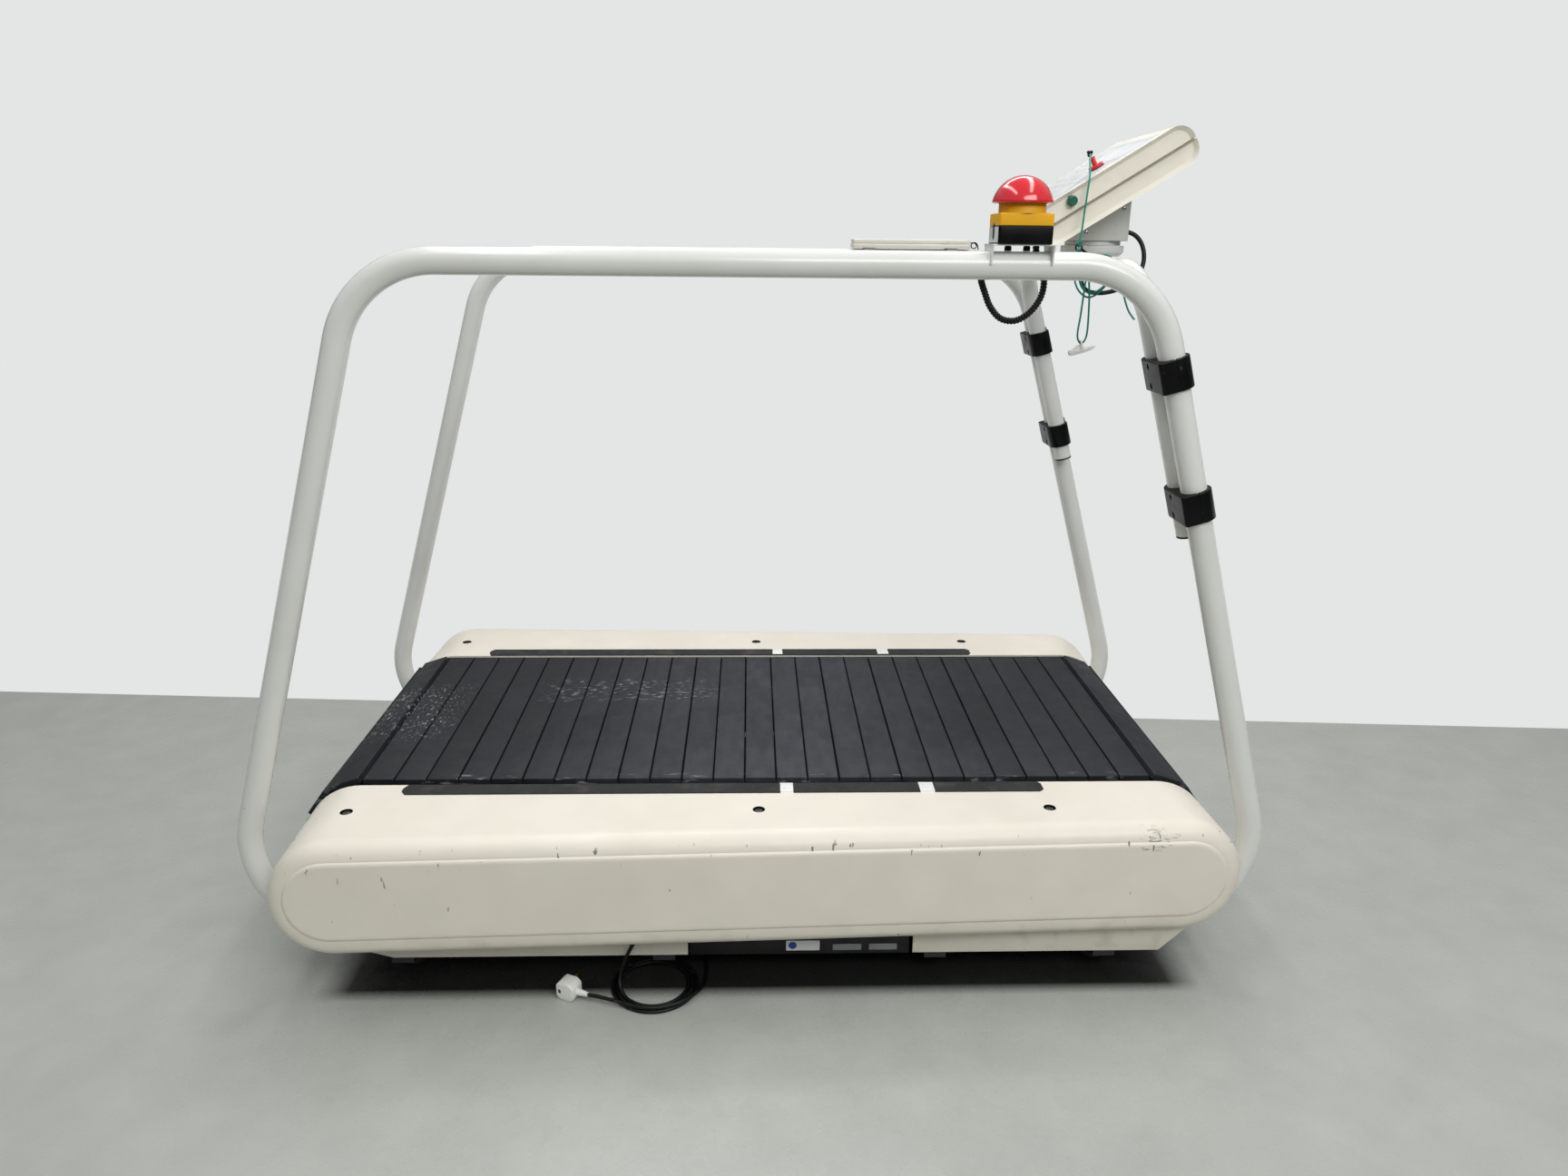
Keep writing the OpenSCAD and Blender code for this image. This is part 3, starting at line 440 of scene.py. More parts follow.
material("roller_steel", (150, 152, 155), 0.35, 0.001, 0.2, 0.06,
         Mark((84, 70, 56), 0.02, 0.6, 0.8, 0.5, 2, gloss=0.3), metal=1)
material("pulley_iron", (92, 95, 98), 0.5, 0.0015, 0.35, 0.08,
         Mark((92, 66, 48), 0.015, 0.6, 0.78, 0.5, 4, gloss=0.2), metal=0.8)
material("beam_aluminium", (74, 76, 79), 0.6, 0.001, 0.15, 0.04,
         Mark((50, 50, 51), 0.03, 0.5, 0.7, 0.6, 1, stretch=(1, 0.2, 1), gloss=0.1), metal=0.7)
material("motor_paint", (56, 61, 68), 0.42, 0.001, 0.3, 0.06, Mark((120, 114, 104), 0.03, 0.62, 0.8, 0.35, 1))
material("foot_rubber", (26, 26, 27), 0.7, 0.0015, 0.5, 0.1, Mark((96, 92, 84), 0.012, 0.55, 0.75, 0.45, 1))
material(
    "strip_grit", (50, 50, 51), 0.82, 0.0016, 1.0, 0.08,
    Mark((86, 85, 84), 0.0018, 0.58, 0.7, 0.7, 1),
    Mark((98, 94, 86), 0.05, 0.55, 0.75, 0.4, 2),
    Mark((34, 34, 36), 0.0022, 0.58, 0.7, 0.6, 5),
    lumps=(0.004, 0.5), specular=0.25,
)
material("tape_white", (232, 232, 228), 0.5, 0.0014, 0.3, 0.02,
         Mark((148, 144, 134), 0.008, 0.6, 0.76, 0.55, 2), lumps=(0.008, 0.3))
material("turntable_grey", (218, 220, 217), 0.4, 0.001, 0.15, 0.02,
         Mark((140, 138, 130), 0.01, 0.64, 0.76, 0.4, 1))
material("bracket_grey", (202, 204, 199), 0.42, 0.0014, 0.3, 0.02,
         Mark((122, 120, 112), 0.01, 0.66, 0.76, 0.45, 3))
material("console_ivory", (236, 231, 217), 0.4, 0.0011, 0.3, 0.012,
         Mark((200, 192, 170), 0.05, 0.6, 0.8, 0.3, 1), lumps=(0.03, 0.08))
# Painted shade: a darker copy of the console ivory, for the plate recessed in the gap between the shells.
material("console_seam_shade", (150, 143, 127), 0.5, 0.001, 0.2, 0.03,
         Mark((112, 106, 92), 0.01, 0.55, 0.75, 0.5, 1))
material("overlay_white", (222, 224, 225), 0.35, 0.0012, 0.15, 0.01,
         Mark((200, 202, 204), 0.03, 0.6, 0.75, 0.4, 2, stretch=(0.3, 1, 1)))
material("overlay_grey", (176, 180, 186), 0.4, 0.001, 0.15, 0.03,
         Mark((150, 152, 156), 0.01, 0.5, 0.8, 0.4, 1))
material("button_green", (8, 92, 68), 0.35, 0.0008, 0.15, 0.06,
         Mark((60, 130, 108), 0.003, 0.6, 0.75, 0.4, 1))
material("key_red", (206, 44, 44), 0.35, 0.0008, 0.15, 0.05, Mark((150, 30, 34), 0.004, 0.55, 0.75, 0.4, 1))
material("cord_teal", (28, 134, 116), 0.6, 0.0006, 0.4, 0.06, Mark((14, 92, 84), 0.004, 0.5, 0.7, 0.5, 1))
material("clip_white", (236, 236, 232), 0.42, 0.0008, 0.2, 0.02,
         Mark((196, 192, 180), 0.006, 0.6, 0.76, 0.4, 1))
material(
    "lid_yellow", (232, 172, 26), 0.5, 0.0009, 0.15, 0.03,
    Mark((196, 138, 20), 0.012, 0.6, 0.78, 0.4, 1),
    Mark((110, 84, 30), 0.006, 0.73, 0.76, 0.6, 2, stretch=(0.3, 1, 1), spin=(0, 20, 0)),
    specular=0.3,
)
material("dome_red", (214, 26, 44), 0.16, 0.001, 0.03, 0.03,
         Mark((170, 20, 36), 0.01, 0.66, 0.78, 0.3, 1, gloss=0.2), coat=0.5, rough_vary=0.05)
material("box_cream", (228, 225, 214), 0.4, 0.001, 0.2, 0.012,
         Mark((176, 168, 146), 0.02, 0.64, 0.78, 0.4, 1))
material("pin_brass", (182, 142, 70), 0.3, 0.0006, 0.15, 0.06,
         Mark((110, 84, 50), 0.004, 0.55, 0.75, 0.5, 1, gloss=0.2), metal=1)
material("plate_grey", (140, 142, 144), 0.4, 0.0008, 0.2, 0.05,
         Mark((96, 94, 90), 0.008, 0.6, 0.76, 0.5, 1), metal=0.6)
material("label_blue", (34, 66, 150), 0.4, 0.0008, 0.1, 0.04, Mark((90, 110, 160), 0.004, 0.6, 0.75, 0.4, 1))
material("burn_brown", (92, 62, 44), 0.6, 0.0008, 0.4, 0.1, Mark((50, 36, 28), 0.003, 0.5, 0.7, 0.6, 1))

# ---------- sizes shared with the part's source ----------

DECK, PITCH, SLATS, SLAT_LONG, SLAT_TOP, SHIFT = 330.0, 60.0, 25, 635.0, 18.0, 7.5
ROLL_R = 5 * PITCH / pi
ROLL_Z = DECK - SLAT_TOP - ROLL_R
AXLES = (SHIFT - SLATS * PITCH / 2, SHIFT + SLATS * PITCH / 2)
COVER_IN, COVER_OUT, TAPER, HALF = 335.0, 536.0, 1.95, 748.0
COVER_R, EDGE, COVER_Z, PANEL_R, PANEL_Z = 110.0, 34.0, 217.0, 75.0, 224.0
RAIL_R, RAIL_Y, RAIL_Z, RAIL_X, LEAN = 21.2, 445.7, 1269.0, 616.4, 16.2
BEND_TOP, BEND_LOW, STUB_X, STUB_Z = 165.0, 175.0, 600.0, 93.9
ARCH_R, ARCH_Y, ARCH_Z, ARCH_X, ARCH_BEND = 19.0, 395.7, 1262.0, 612.5, 90.0
ARCH_ENDS = {-1: 831.0, 1: 815.0}  # heights on the near side (-1) and on the far side
CLAMPS = {-1: (893.0, 1107.0), 1: (871.0, 1085.0)}
CON_X, CON_Z, CON_W, CON_T, CON_TILT, CON_END = 536.5, 1340.0, 310.0, 71.0, 31.7, 236.0
STOP_X, SWIVEL_X = 401.0, 647.5
SCREWS_X, SCREW_Y = (-730.5, 3.5, 531.5), 434.3
GLAND_AT = (-218.0, -487.0, 98.0)


def leg_x(z):
    return RAIL_X + (RAIL_Z - z) * tan(LEG)


LEG = radians(LEAN)
LOW_Z = STUB_Z + BEND_LOW
LOW_X = leg_x(LOW_Z + BEND_LOW * sin(LEG)) - BEND_LOW * cos(LEG)
TOP_X = RAIL_X - BEND_TOP * tan((pi / 2 - LEG) / 2)
on_arch = shift(ARCH_X, 0, ARCH_Z) @ turn(-LEAN, "Y")
on_console = shift(CON_X, 0, CON_Z) @ turn(-CON_TILT, "Y")

# ---------- cords ----------

TURN_X, TURN_Y, TURN_R, TURN_GROWTH = -187.6, -495.6, 60, 0.42
FEED = [
    (-218, -487, 98), (-222.5, -487.3, 88.3), (-227.5, -488, 78.6), (-232.3, -489.4, 69), (-237, -491, 59.4),
    (-241, -493.6, 49.7), (-244.7, -496.8, 40), (-247.3, -501, 30.4), (-248.5, -506.5, 21),
    (-247.3, -513.5, 13), (-243, -521.5, 7.5), (-237, -530.3, 4.3),
]
TURNS = [(TURN_X + r * cos(a), TURN_Y + r * sin(a), 3.6)
         for r, a in ((TURN_R + TURN_GROWTH * i, radians(225 + 20 * i)) for i in range(48))]
BACK = [
    (-201, -414.5, 3.6), (-221, -407.5, 3.6), (-233, -391, 3.6), (-233.5, -371, 3.6), (-222, -354.5, 3.6),
    (-202, -348, 3.6), (-175, -348, 3.6), (-145, -356, 3.6), (-119, -373, 3.6), (-102, -398, 3.6),
    (-95, -427, 3.6), (-93, -458, 3.6), (-95, -488, 4.4), (-101, -513, 8.4), (-113, -535, 11.6),
    (-131, -552, 11.2), (-150, -562, 10.9), (-168, -568, 10.8), (-188, -570, 10.8), (-208, -567.5, 10.9),
    (-227, -561, 11.2), (-246, -553.6, 12), (-266, -547, 13), (-285, -541.6, 14.2), (-301.7, -537.9, 15),
]
CABLE = [
    (698, -20, 1326), (709, -20.5, 1325.5), (722, -22, 1320), (733, -25, 1308), (739, -29, 1291),
    (739.5, -33, 1272), (733, -38, 1254), (719, -43, 1238), (700, -48, 1226), (689.5, -50.6, 1221.5),
    (679, -53, 1218.2), (668, -55.2, 1216), (658, -57.3, 1214.8), (649, -59.2, 1214.7), (640.5, -61, 1215.4),
    (631.8, -61.9, 1216.8), (624, -62.8, 1220.7), (617.8, -63.4, 1226.9), (613.9, -63.9, 1234.4),
    (612.5, -64, 1242.7),
]
LANYARD = [
    (609.8, -60, 1461), (607, -74, 1457), (598, -108, 1441), (589, -144, 1423), (585, -157, 1413),
    (582.5, -162, 1398), (579, -165, 1360), (575, -171, 1324), (571.5, -175, 1304.3),
]
TAIL = [
    (571, -175, 1289.8), (569, -176, 1276), (566, -180, 1256), (567, -183, 1240), (573, -184, 1226),
    (583, -184, 1216), (594, -184, 1212), (606, -184, 1216), (618, -184, 1227), (629, -184, 1241),
    (635, -185, 1260), (628, -185.5, 1278), (612.5, -186, 1284), (597, -186, 1278), (586, -186.5, 1262),
    (577, -187, 1245), (579, -188, 1231), (588, -188, 1222), (600, -188, 1220), (612, -188, 1226),
    (624, -189, 1238), (634, -190, 1254), (632, -190.5, 1273), (619, -191, 1283.5), (604, -191, 1282.5),
    (591, -191, 1271), (585, -191, 1250), (583, -189, 1215), (581.5, -187, 1180), (579.5, -185, 1152),
    (581.5, -184, 1138), (588, -184, 1131), (594.5, -184, 1138), (596.5, -186, 1152), (595, -190, 1180),
    (592, -194, 1215), (588, -196, 1248), (590, -196, 1270), (603, -196, 1282.5), (619, -196, 1283.5),
    (633, -195, 1272), (643, -193, 1252), (651, -191, 1228), (659, -189, 1207), (668, -188, 1188),
    (680, -187, 1174),
]
CONDUIT = [
    (434, -414.5, 1300.8), (436, -414.5, 1286), (446, -414.5, 1266), (451, -414.5, 1244), (447, -414.5, 1220),
    (432, -414.5, 1198), (410, -414.5, 1185), (386, -414.5, 1188), (368, -415, 1206), (357, -417, 1229),
    (350, -423, 1244), (347, -430.6, 1253.8),
]
BOX_LEAD = [
    (493.8, 446, 1303), (500, 446, 1304.8), (507, 445.5, 1304.4), (511.7, 444.8, 1299), (510, 444, 1294),
    (505, 443, 1292.6), (500, 442, 1295), (498.8, 441.2, 1300.2), (502.5, 440.4, 1305), (508.5, 439.6, 1305),
    (513, 438.8, 1299.5), (515, 438.2, 1289.4),
]


def cord_piece(name, node, path, d, paint, far_end, stiffness, lay, sides=12, bodies=None, ends=None,
               with_pieces=(), **look):
    """A free cord: a tube along its route, riding on the frame, and on no body when bodies are given."""
    shape = Shape().tube(path, d / 2, sides, **look)
    piece = shape.done(name, paint, node, None if bodies else "frame", angle=60)
    if bodies:
        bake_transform(piece)


at = shift(-338, -521, 0) @ turn(-25, "Z")  # the plug, lying on the floor
outline = [(-18, 7.5), (-16.8, 5), (-11, 0.6), (-9.5, 0), (10.5, 0), (12.5, 0.7), (17, 5.5), (18, 8),
           (18, 25), (17.3, 27), (10.4, 33), (8, 34), (-11, 34), (-13.4, 33), (-17, 29.6), (-18, 28)]
body = Shape().prism([outline], -15, 15, 2.2, 3, at @ UPRIGHT)
body.cut(Shape().prism([round_rect(-14.5, 11, -7.5, 21, 3)], 13.6, 17, 0.2, 1, at @ UPRIGHT))
relief = [(6.6, 0), (6.6, 2), (5.4, 3), (6.1, 4.4), (6.1, 6.4), (5, 7.4), (5.6, 8.8), (5.6, 10.8),
          (4.7, 11.8), (5.1, 13.2), (5.1, 15.2), (4.4, 16.2), (4.7, 17.4), (4.5, 21.8), (0, 22)]
body.lathe(relief, at @ shift(17.6, 0, 15) @ turn(90, "Y"), 32)
plug = body.done("plug_body", "clip_white", "mains_plug")
burn = Shape().prism([round_rect(-14, 11.5, -8, 20.5, 2.8)], 13.2, 14, 0.3, 2, at @ UPRIGHT)
burn.done("plug_burn_mark", "burn_brown")
pins = Shape()
for low, high in (((-11, 15, 7), (-7, 32, 12)), ((7, 15, 7), (11, 32, 12)), ((-2, 15, 21), (2, 37, 29))):
    pins.box(low, high, 0.9, 2, at)
pins = pins.done("plug_pin_set", "pin_brass", "plug_pins")

at = shift(590.6, -184, 1118) @ turn(-12, "Y")  # the clip, hanging at the loose end's fold
clip = Shape()
upper = [(-24, -1.6), (-12, -1.2), (4, -0.4), (16, 1), (24, 4), (22.8, 5), (14, 3.4), (2, 2.6),
         (-10, 3.4), (-24, 4.4)]
lower = [(-24, -1.9), (-12, -1.5), (4, -0.7), (16, 0.7), (24, 3.6), (23.6, 2.6), (15, -1.4), (2, -3.6),
         (-12, -4.2), (-24, -4.2)]
for jaw in (upper, lower):
    clip.prism([jaw], -6, 6, 0.5, 2, at @ UPRIGHT)
clip.box((-24, -5.4, -2), (-18.5, 5.4, 2), 0.6, 2, at)
web = [(-23, 3), (-8, 11.5), (-1, 12.5), (2, 8), (7, 2.4), (-23, 2.4)]
clip.prism([web], -1.5, 1.5, 0.4, 2, at @ UPRIGHT)
tab = [(-6, 3), (6, 3), (6, 15.4), (5.2, 17.6), (3, 19), (-3, 19), (-5.2, 17.6), (-6, 15.4)]
clip.prism([tab, arc(0, 13, 2.6, 0, 330, 11)], -1.5, 1.5, 0.5, 2, at @ ALONG_X)
for x in (-22, -19, -16):
    clip.box((x, -5.6, 3.4), (x + 1.4, 5.6, 4.9), 0.4, 2, at)
clip = clip.done("clip_jaws", "clip_white", "lanyard_clip")

LANYARD_D, LANYARD_LAY = 3.5, dict(lobes=3, twist=11)
RIB_DEPTH, RIB_PITCH = 0.2, 4.8
route = smooth(LANYARD, 12, 1.6)
fold = next(i for i, p in enumerate(route) if p.z < 1410)
past_button = next(p for p in route if p.z < 1363)
cord_piece("mains_flex", "mains_lead", smooth(FEED + TURNS + BACK, 8, 4), 7, "cable_black",
           "plug", "medium", "coiled", with_pieces=(plug, pins))
cord_piece("lanyard_upper", "lanyard", route[:fold + 1], LANYARD_D, "cord_teal",
           "object", "limp", "hanging", bodies=("pull_key", "console_head"),
           ends=(route[4] * MM, (route[4] + (route[fold] - route[4]) * 0.7) * MM), **LANYARD_LAY)
cord_piece("lanyard_lower", "lanyard", route[fold:], LANYARD_D, "cord_teal",
           "object", "limp", "hanging", bodies=("console_head", "frame"),
           ends=(past_button * MM, route[-1] * MM), **LANYARD_LAY)
cord_piece("lanyard_loose_end", "lanyard_tail", smooth(TAIL, 12, 1.6), LANYARD_D, "cord_teal",
           "bare", "limp", "hanging", with_pieces=(clip,), **LANYARD_LAY)
cord_piece("console_flex", "console_cable", smooth(CABLE, 8, 3), 8.4, "cable_black",
           "object", "medium", "hanging", 20, ("console_head", "frame"))
cord_piece("stop_flex", "stop_conduit", smooth(CONDUIT, 24, 0.8), 11, "cable_black",
           "object", "medium", "hanging", 20,
           rib=lambda s: 1 - RIB_DEPTH * (0.5 - 0.5 * cos(2 * pi * s / RIB_PITCH)) ** 2)
cord_piece("box_flex", "accessory_lead", smooth(BOX_LEAD, 8, 1), 2.6, "cable_black",
           "object", "limp", "loose", 10)

# ---------- side covers ----------

WALL = 4.0  # thickness of the covers, and how far their panels stand out
FLAT = COVER_R - EDGE


def panel_face(distance):
    """How far out the plain outer face stands, by the distance from the middle line of the rounded end."""
    return COVER_OUT - EDGE + sqrt(max(EDGE**2 - max(distance - FLAT, 0) ** 2, 0))


def stadium(r, cz, y):
    """A ring of the rounded outline at radius r about height cz; y may be a number or a rule."""
    ring = []
    for end, start in ((HALF, -90), (-HALF, 90)):
        for x, z in arc(end, cz, r, start, start + 180, 28):
            distance = hypot(x - end, z - COVER_Z)
            ring.append((x, y(x, distance) if callable(y) else y, z))
    return ring


def inner_edge(extra):
    turn_in = radians(TAPER)
    return lambda x, d: (COVER_IN + extra + x * sin(turn_in)) / cos(turn_in)


def make_cover(name, flip):
    rings = [stadium(COVER_R, COVER_Z, y) for y in (
        inner_edge(0), inner_edge(3), COVER_OUT - EDGE - 6, COVER_OUT - EDGE)]
    for t in map(radians, range(9, 73, 9)):
        rings.append(stadium(FLAT + EDGE * cos(t), COVER_Z, COVER_OUT - EDGE + EDGE * sin(t)))
    rings.append(stadium(PANEL_R + 3, PANEL_Z, lambda x, d: panel_face(d) + 0.05))
    rings.append(stadium(PANEL_R + 1.2, PANEL_Z, lambda x, d: panel_face(d) - 0.3))
    for t in map(radians, range(0, 91, 15)):
        rings.append(stadium(
            PANEL_R - 7 + 7.6 * cos(t), PANEL_Z,
            lambda x, d: panel_face(d) + (COVER_OUT + WALL - panel_face(d)) * sin(t)))
    rings.append(stadium(PANEL_R - 9, PANEL_Z, COVER_OUT + WALL))
    skin = bpy.data.meshes.new("skin")
    Shape().loft(rings, open_start=True).bm.to_mesh(skin)
    helper = add_object("skin", skin)
    wall = helper.modifiers.new("wall", "SOLIDIFY")
    wall.thickness, wall.offset = WALL, 1  # the skin's faces look inward, and so does the wall
    cover = Shape().mesh_in(finished_mesh(helper), turn(-TAPER, "Z"))
    under = Shape().box((-735, 280, 60), (812, 500, 160), 2, 1)
    slots, wells = Shape(), Shape()
    for low, high in ((-900, -690), (690, 900)):
        hole = [(RAIL_Y - 27, 60), (RAIL_Y + 27, 60)] + arc(RAIL_Y, 205, 27, 0, 180, 16)
        slots.prism([hole], low, high, 0.5, 1, ALONG_X)
    for x in SCREWS_X:
        wells.lathe([(11, 316), (11, 326.2), (12, 327.4), (12, 335)], shift(x, SCREW_Y, 0), 40)
    cover.cut(under, slots, wells)
    bmesh.ops.transform(cover.bm, matrix=flip, verts=cover.bm.verts)
    cover.done(name + "_shell", "cream_cover", name, angle=28)


make_cover("far_cover", Matrix())
make_cover("near_cover", FLIP_Y)

corner, cross = [(-5, -0.8), (-0.8, -0.8), (-0.8, -5)], []
for _ in range(4):
    cross += corner
    corner = [(-y, x) for x, y in corner]
head = [(3.9, -25), (3.9, -0.5), (7.4, 0), (7.5, 1.6), (6.9, 2.7), (5, 3.5), (0, 3.9)]
head = Shape().lathe(head, None, 36).cut(Shape().prism([cross], 1.6, 6, 0.1, 1))
cup = [(4.2, 318.5), (10.9, 318.5), (10.9, 326.7), (10.3, 326.9), (9.9, 326.4), (9.7, 320.6), (8, 319.8),
       (4.2, 319.8), (4.2, 318.5)]
cups, heads = Shape(), Shape()
for y in (SCREW_Y, -SCREW_Y):
    for x in SCREWS_X:
        cups.lathe(cup, shift(x, y, 0), 40)
        heads.copy_of(head, shift(x, y, 321.9) @ turn(rng.uniform(0, 90), "Z"))
cups.done("screw_cups", "black_plastic")
heads.done("cover_screw_set", "pulley_iron", "cover_screws", slot="screw_steel")

strips = Shape()
for inner, flip in ((338, FLIP_Y), (335.4, Matrix())):
    strip = [(-654.5, 352), (-648, inner), (531, inner), (537.5, 346), (537.5, 366), (529, 374), (-646, 374),
             (-654.5, 362)]
    strips.prism([strip], 326.2, 329.5, 0.7, 2, flip)
strips.done("foot_strip_pair", "strip_grit", "foot_strips")


def tape_piece(shape, x0, x1, ragged, matrix, rings=9):
    """A strip of tape laid over the grit strip, stuck down on the cover on both sides."""
    across = [(336.2, 327.35), (337.2, 327.5), (338.1, 329.3), (339.4, 329.75), (352, 329.75), (364, 329.75),
              (372.6, 329.75), (373.9, 329.3), (374.8, 327.5), (376.8, 327.35)]
    loops = []
    for k in range(rings):
        x = x0 + (x1 - x0) * (k / (rings - 1))
        ring = []
        for i, (y, z) in enumerate(across):
            end = ragged * rng.uniform(-1, 1) if i in (0, len(across) - 1) else 0
            torn = 0.5 * ragged * rng.uniform(-1, 1) if k in (0, rings - 1) else 0
            ring.append((x + torn, y + end, z))
        loops.append(ring + [(x, y, z - 0.3) for x, y, z in reversed(ring)])
    shape.loft(loops, matrix)


tapes = Shape()
for flip in (Matrix(), FLIP_Y):
    tape_piece(tapes, 44, 68, 0.6, flip)
    tape_piece(tapes, 305, 332, 0.15, flip)
tapes.done("tape_strips", "tape_white", "tape_marks", angle=50)

# ---------- skirts, control box and feet ----------

SKIRT_TOP, SKIRT_LOW = 150, 53
left_end, right_end = [(-700, 65), (-660, SKIRT_LOW)], [(746, SKIRT_LOW), (792, 100), (792, SKIRT_TOP)]
skirts = {
    "near_skirts": (475, [
        left_end + [(-126, SKIRT_LOW), (-126, SKIRT_TOP), (-700, SKIRT_TOP)],
        [(287, SKIRT_LOW)] + right_end + [(287, SKIRT_TOP)],
    ]),
    "far_skirt": (-478, [left_end + right_end + [(-700, SKIRT_TOP)]]),
}
for name, (low, outlines) in skirts.items():
    piece = Shape()
    for outline in outlines:
        piece.prism([outline], low, low + 3, matrix=UPRIGHT)
    piece.done(name + "_sheet", "cream_skirt", name, slot="cream_cover")

BOX_FACE = 470
case = Shape().box((-125, -BOX_FACE, 45), (283, -362, 104), 3, 3)
case.done("control_box_case", "black_sheet", "control_box")
label = Shape().prism([round_rect(54, 55, 116, 76, 1.5)], BOX_FACE, BOX_FACE + 1.3, 0.2, 1, UPRIGHT)
label.done("rating_label", "overlay_white")
dot = [(0, 0), (7.6, 0), (7.6, 0.25), (7.2, 0.4), (0, 0.4)]
dot = Shape().lathe(dot, shift(66, -BOX_FACE - 1.1, 66) @ UPRIGHT, 40)
dot.done("rating_label_dot", "label_blue")
plates = Shape()
for x0, x1 in ((140, 193), (207, 259)):
    plates.prism([round_rect(x0, 55, x1, 68, 1.2)], BOX_FACE, BOX_FACE + 1.5, 0.3, 2, UPRIGHT)
plates.done("blank_plates", "plate_grey", "panel_plates")

foot = [(25.5, 0), (28, 2.2), (28, 9.5), (26.6, 12), (24, 13.4), (15, 18.4), (12, 20.4), (12, 40)]
feet = Shape()
for x in (-645, 645):
    for y in (-400, 400):
        feet.lathe(foot, shift(x, y, 0), 48)
feet.done("levelling_foot_set", "foot_rubber", "levelling_feet")

# ---------- slat belt ----------

half = (PITCH - 2.5) / 2
profile = mirrored([(29.7, 6.1), (29.7, 8.6), (half - 0.4, 13), (half, 15.6), (half - 0.35, 16.9),
                    (half - 1.2, 17.7), (half - 2.4, SLAT_TOP)])
tread = Shape().prism([profile], -SLAT_LONG / 2, SLAT_LONG / 2, 1.6, 3, UPRIGHT)
treads = Shape()
for i in range(SLATS):
    x = AXLES[0] + (i + 0.5) * PITCH
    jitter = shift(rng.uniform(-0.25, 0.25), rng.uniform(-0.8, 0.8), rng.uniform(-0.35, 0))
    treads.copy_of(tread, shift(x, 0, ROLL_Z + ROLL_R) @ jitter)
    treads.copy_of(tread, shift(x, 0, ROLL_Z - ROLL_R) @ turn(180, "Y"))
for k in range(5):
    for x, s in ((AXLES[1], 1), (AXLES[0], -1)):
        treads.copy_of(tread, shift(x, 0, ROLL_Z) @ turn(s * (18 + 36 * k), "Y") @ shift(0, 0, ROLL_R))
treads.done("slat_tread_set", "tread_rubber", "slat_treads", angle=40)

# ---------- handrails and arch ----------

rail_line = mirrored([(STUB_X, STUB_Z)] + arc(LOW_X, LOW_Z, BEND_LOW, -90, LEAN, 26)
                     + arc(TOP_X, RAIL_Z - BEND_TOP, BEND_TOP, LEAN, 90, 20))
for name, y in (("near_handrail", -RAIL_Y), ("far_handrail", RAIL_Y)):
    rail = Shape().tube([(x, y, z) for x, z in rail_line], RAIL_R, 40)
    rail.done(name + "_tube", "tube_white", name)

leg_long = {s: (ARCH_Z - z) / cos(LEG) for s, z in ARCH_ENDS.items()}
bend = arc(ARCH_Y - ARCH_BEND, -ARCH_BEND, ARCH_BEND, 0, 90, 18)
arch = [(ARCH_Y, -leg_long[1])] + mirrored(bend) + [(-ARCH_Y, -leg_long[-1])]
arch = Shape().tube([(0, y, z) for y, z in arch], ARCH_R, 40, matrix=on_arch)
arch.done("console_arch_tube", "tube_white", "console_arch")
caps = Shape()
for s, low in leg_long.items():
    caps.lathe([(17.4, -4), (18.7, -3.7), (19, -3), (19, 0), (16, 0), (16, 10)],
               on_arch @ shift(0, s * ARCH_Y, -low), 40)
caps.done("arch_cap_pair", "black_sheet", "arch_end_caps", slot="black_plastic")

MID_Y, HALF_Y = (RAIL_Y + ARCH_Y) / 2, (RAIL_Y - ARCH_Y) / 2
SET = (leg_x(ARCH_Z) - ARCH_X) * cos(LEG)
CLAMP_HALF, BOLT_AT = 26, 16
front = (arc(-SET, -HALF_Y, 25, -81.5, 0, 12) + [(19, -HALF_Y + 3), (19, HALF_Y - 19)]
         + arc(0, HALF_Y, 27.5, -46, 94.2, 16) + [(-2, -HALF_Y - 24.7)])
back = ([(-2.6, -HALF_Y - 24.8), (-2.6, HALF_Y + 27.4)] + arc(-25.7, HALF_Y + 22.5, 5, 90, 180, 6)
        + arc(-SET, -HALF_Y, 25, 180, 262, 12))
front_half, back_half = (Shape().prism([line], -CLAMP_HALF, CLAMP_HALF, 1.8, 3) for line in (front, back))
for z in (-BOLT_AT, BOLT_AT):
    back_half.cut(Shape().lathe([(5.6, -40), (5.6, -24)], shift(0, -1, z) @ turn(90, "Y"), 28))
screw = [(3, 14), (3, 2), (5, 2), (5, -2.6), (4.3, -3.4), (2.6, -3.4), (2.6, 0), (0, 0)]
screw = Shape().lathe(  # the wave makes its socket six-sided
    screw, None, 36, lambda a, k: 1 / cos(a % (pi / 3) - pi / 6) if k in (5, 6) else 1)
fronts, backs, screws = Shape(), Shape(), Shape()
for s, heights in CLAMPS.items():
    for z in heights:
        at = (Matrix() if s > 0 else FLIP_Y) @ shift(leg_x(z), MID_Y, z) @ turn(-LEAN, "Y")
        fronts.copy_of(front_half, at)
        backs.copy_of(back_half, at)
        for h in (-BOLT_AT, BOLT_AT):
            screws.copy_of(screw, at @ shift(-26, -1, h) @ turn(90, "Y"))
fronts.done("clamp_front_set", "black_plastic", "arch_clamps")
backs.done("clamp_back_set", "black_plastic", "clamp_backs")
screws.done("clamp_screw_set", "screw_steel", "clamp_screws", slot="black_screw")

# ---------- turntable, wedge and console ----------

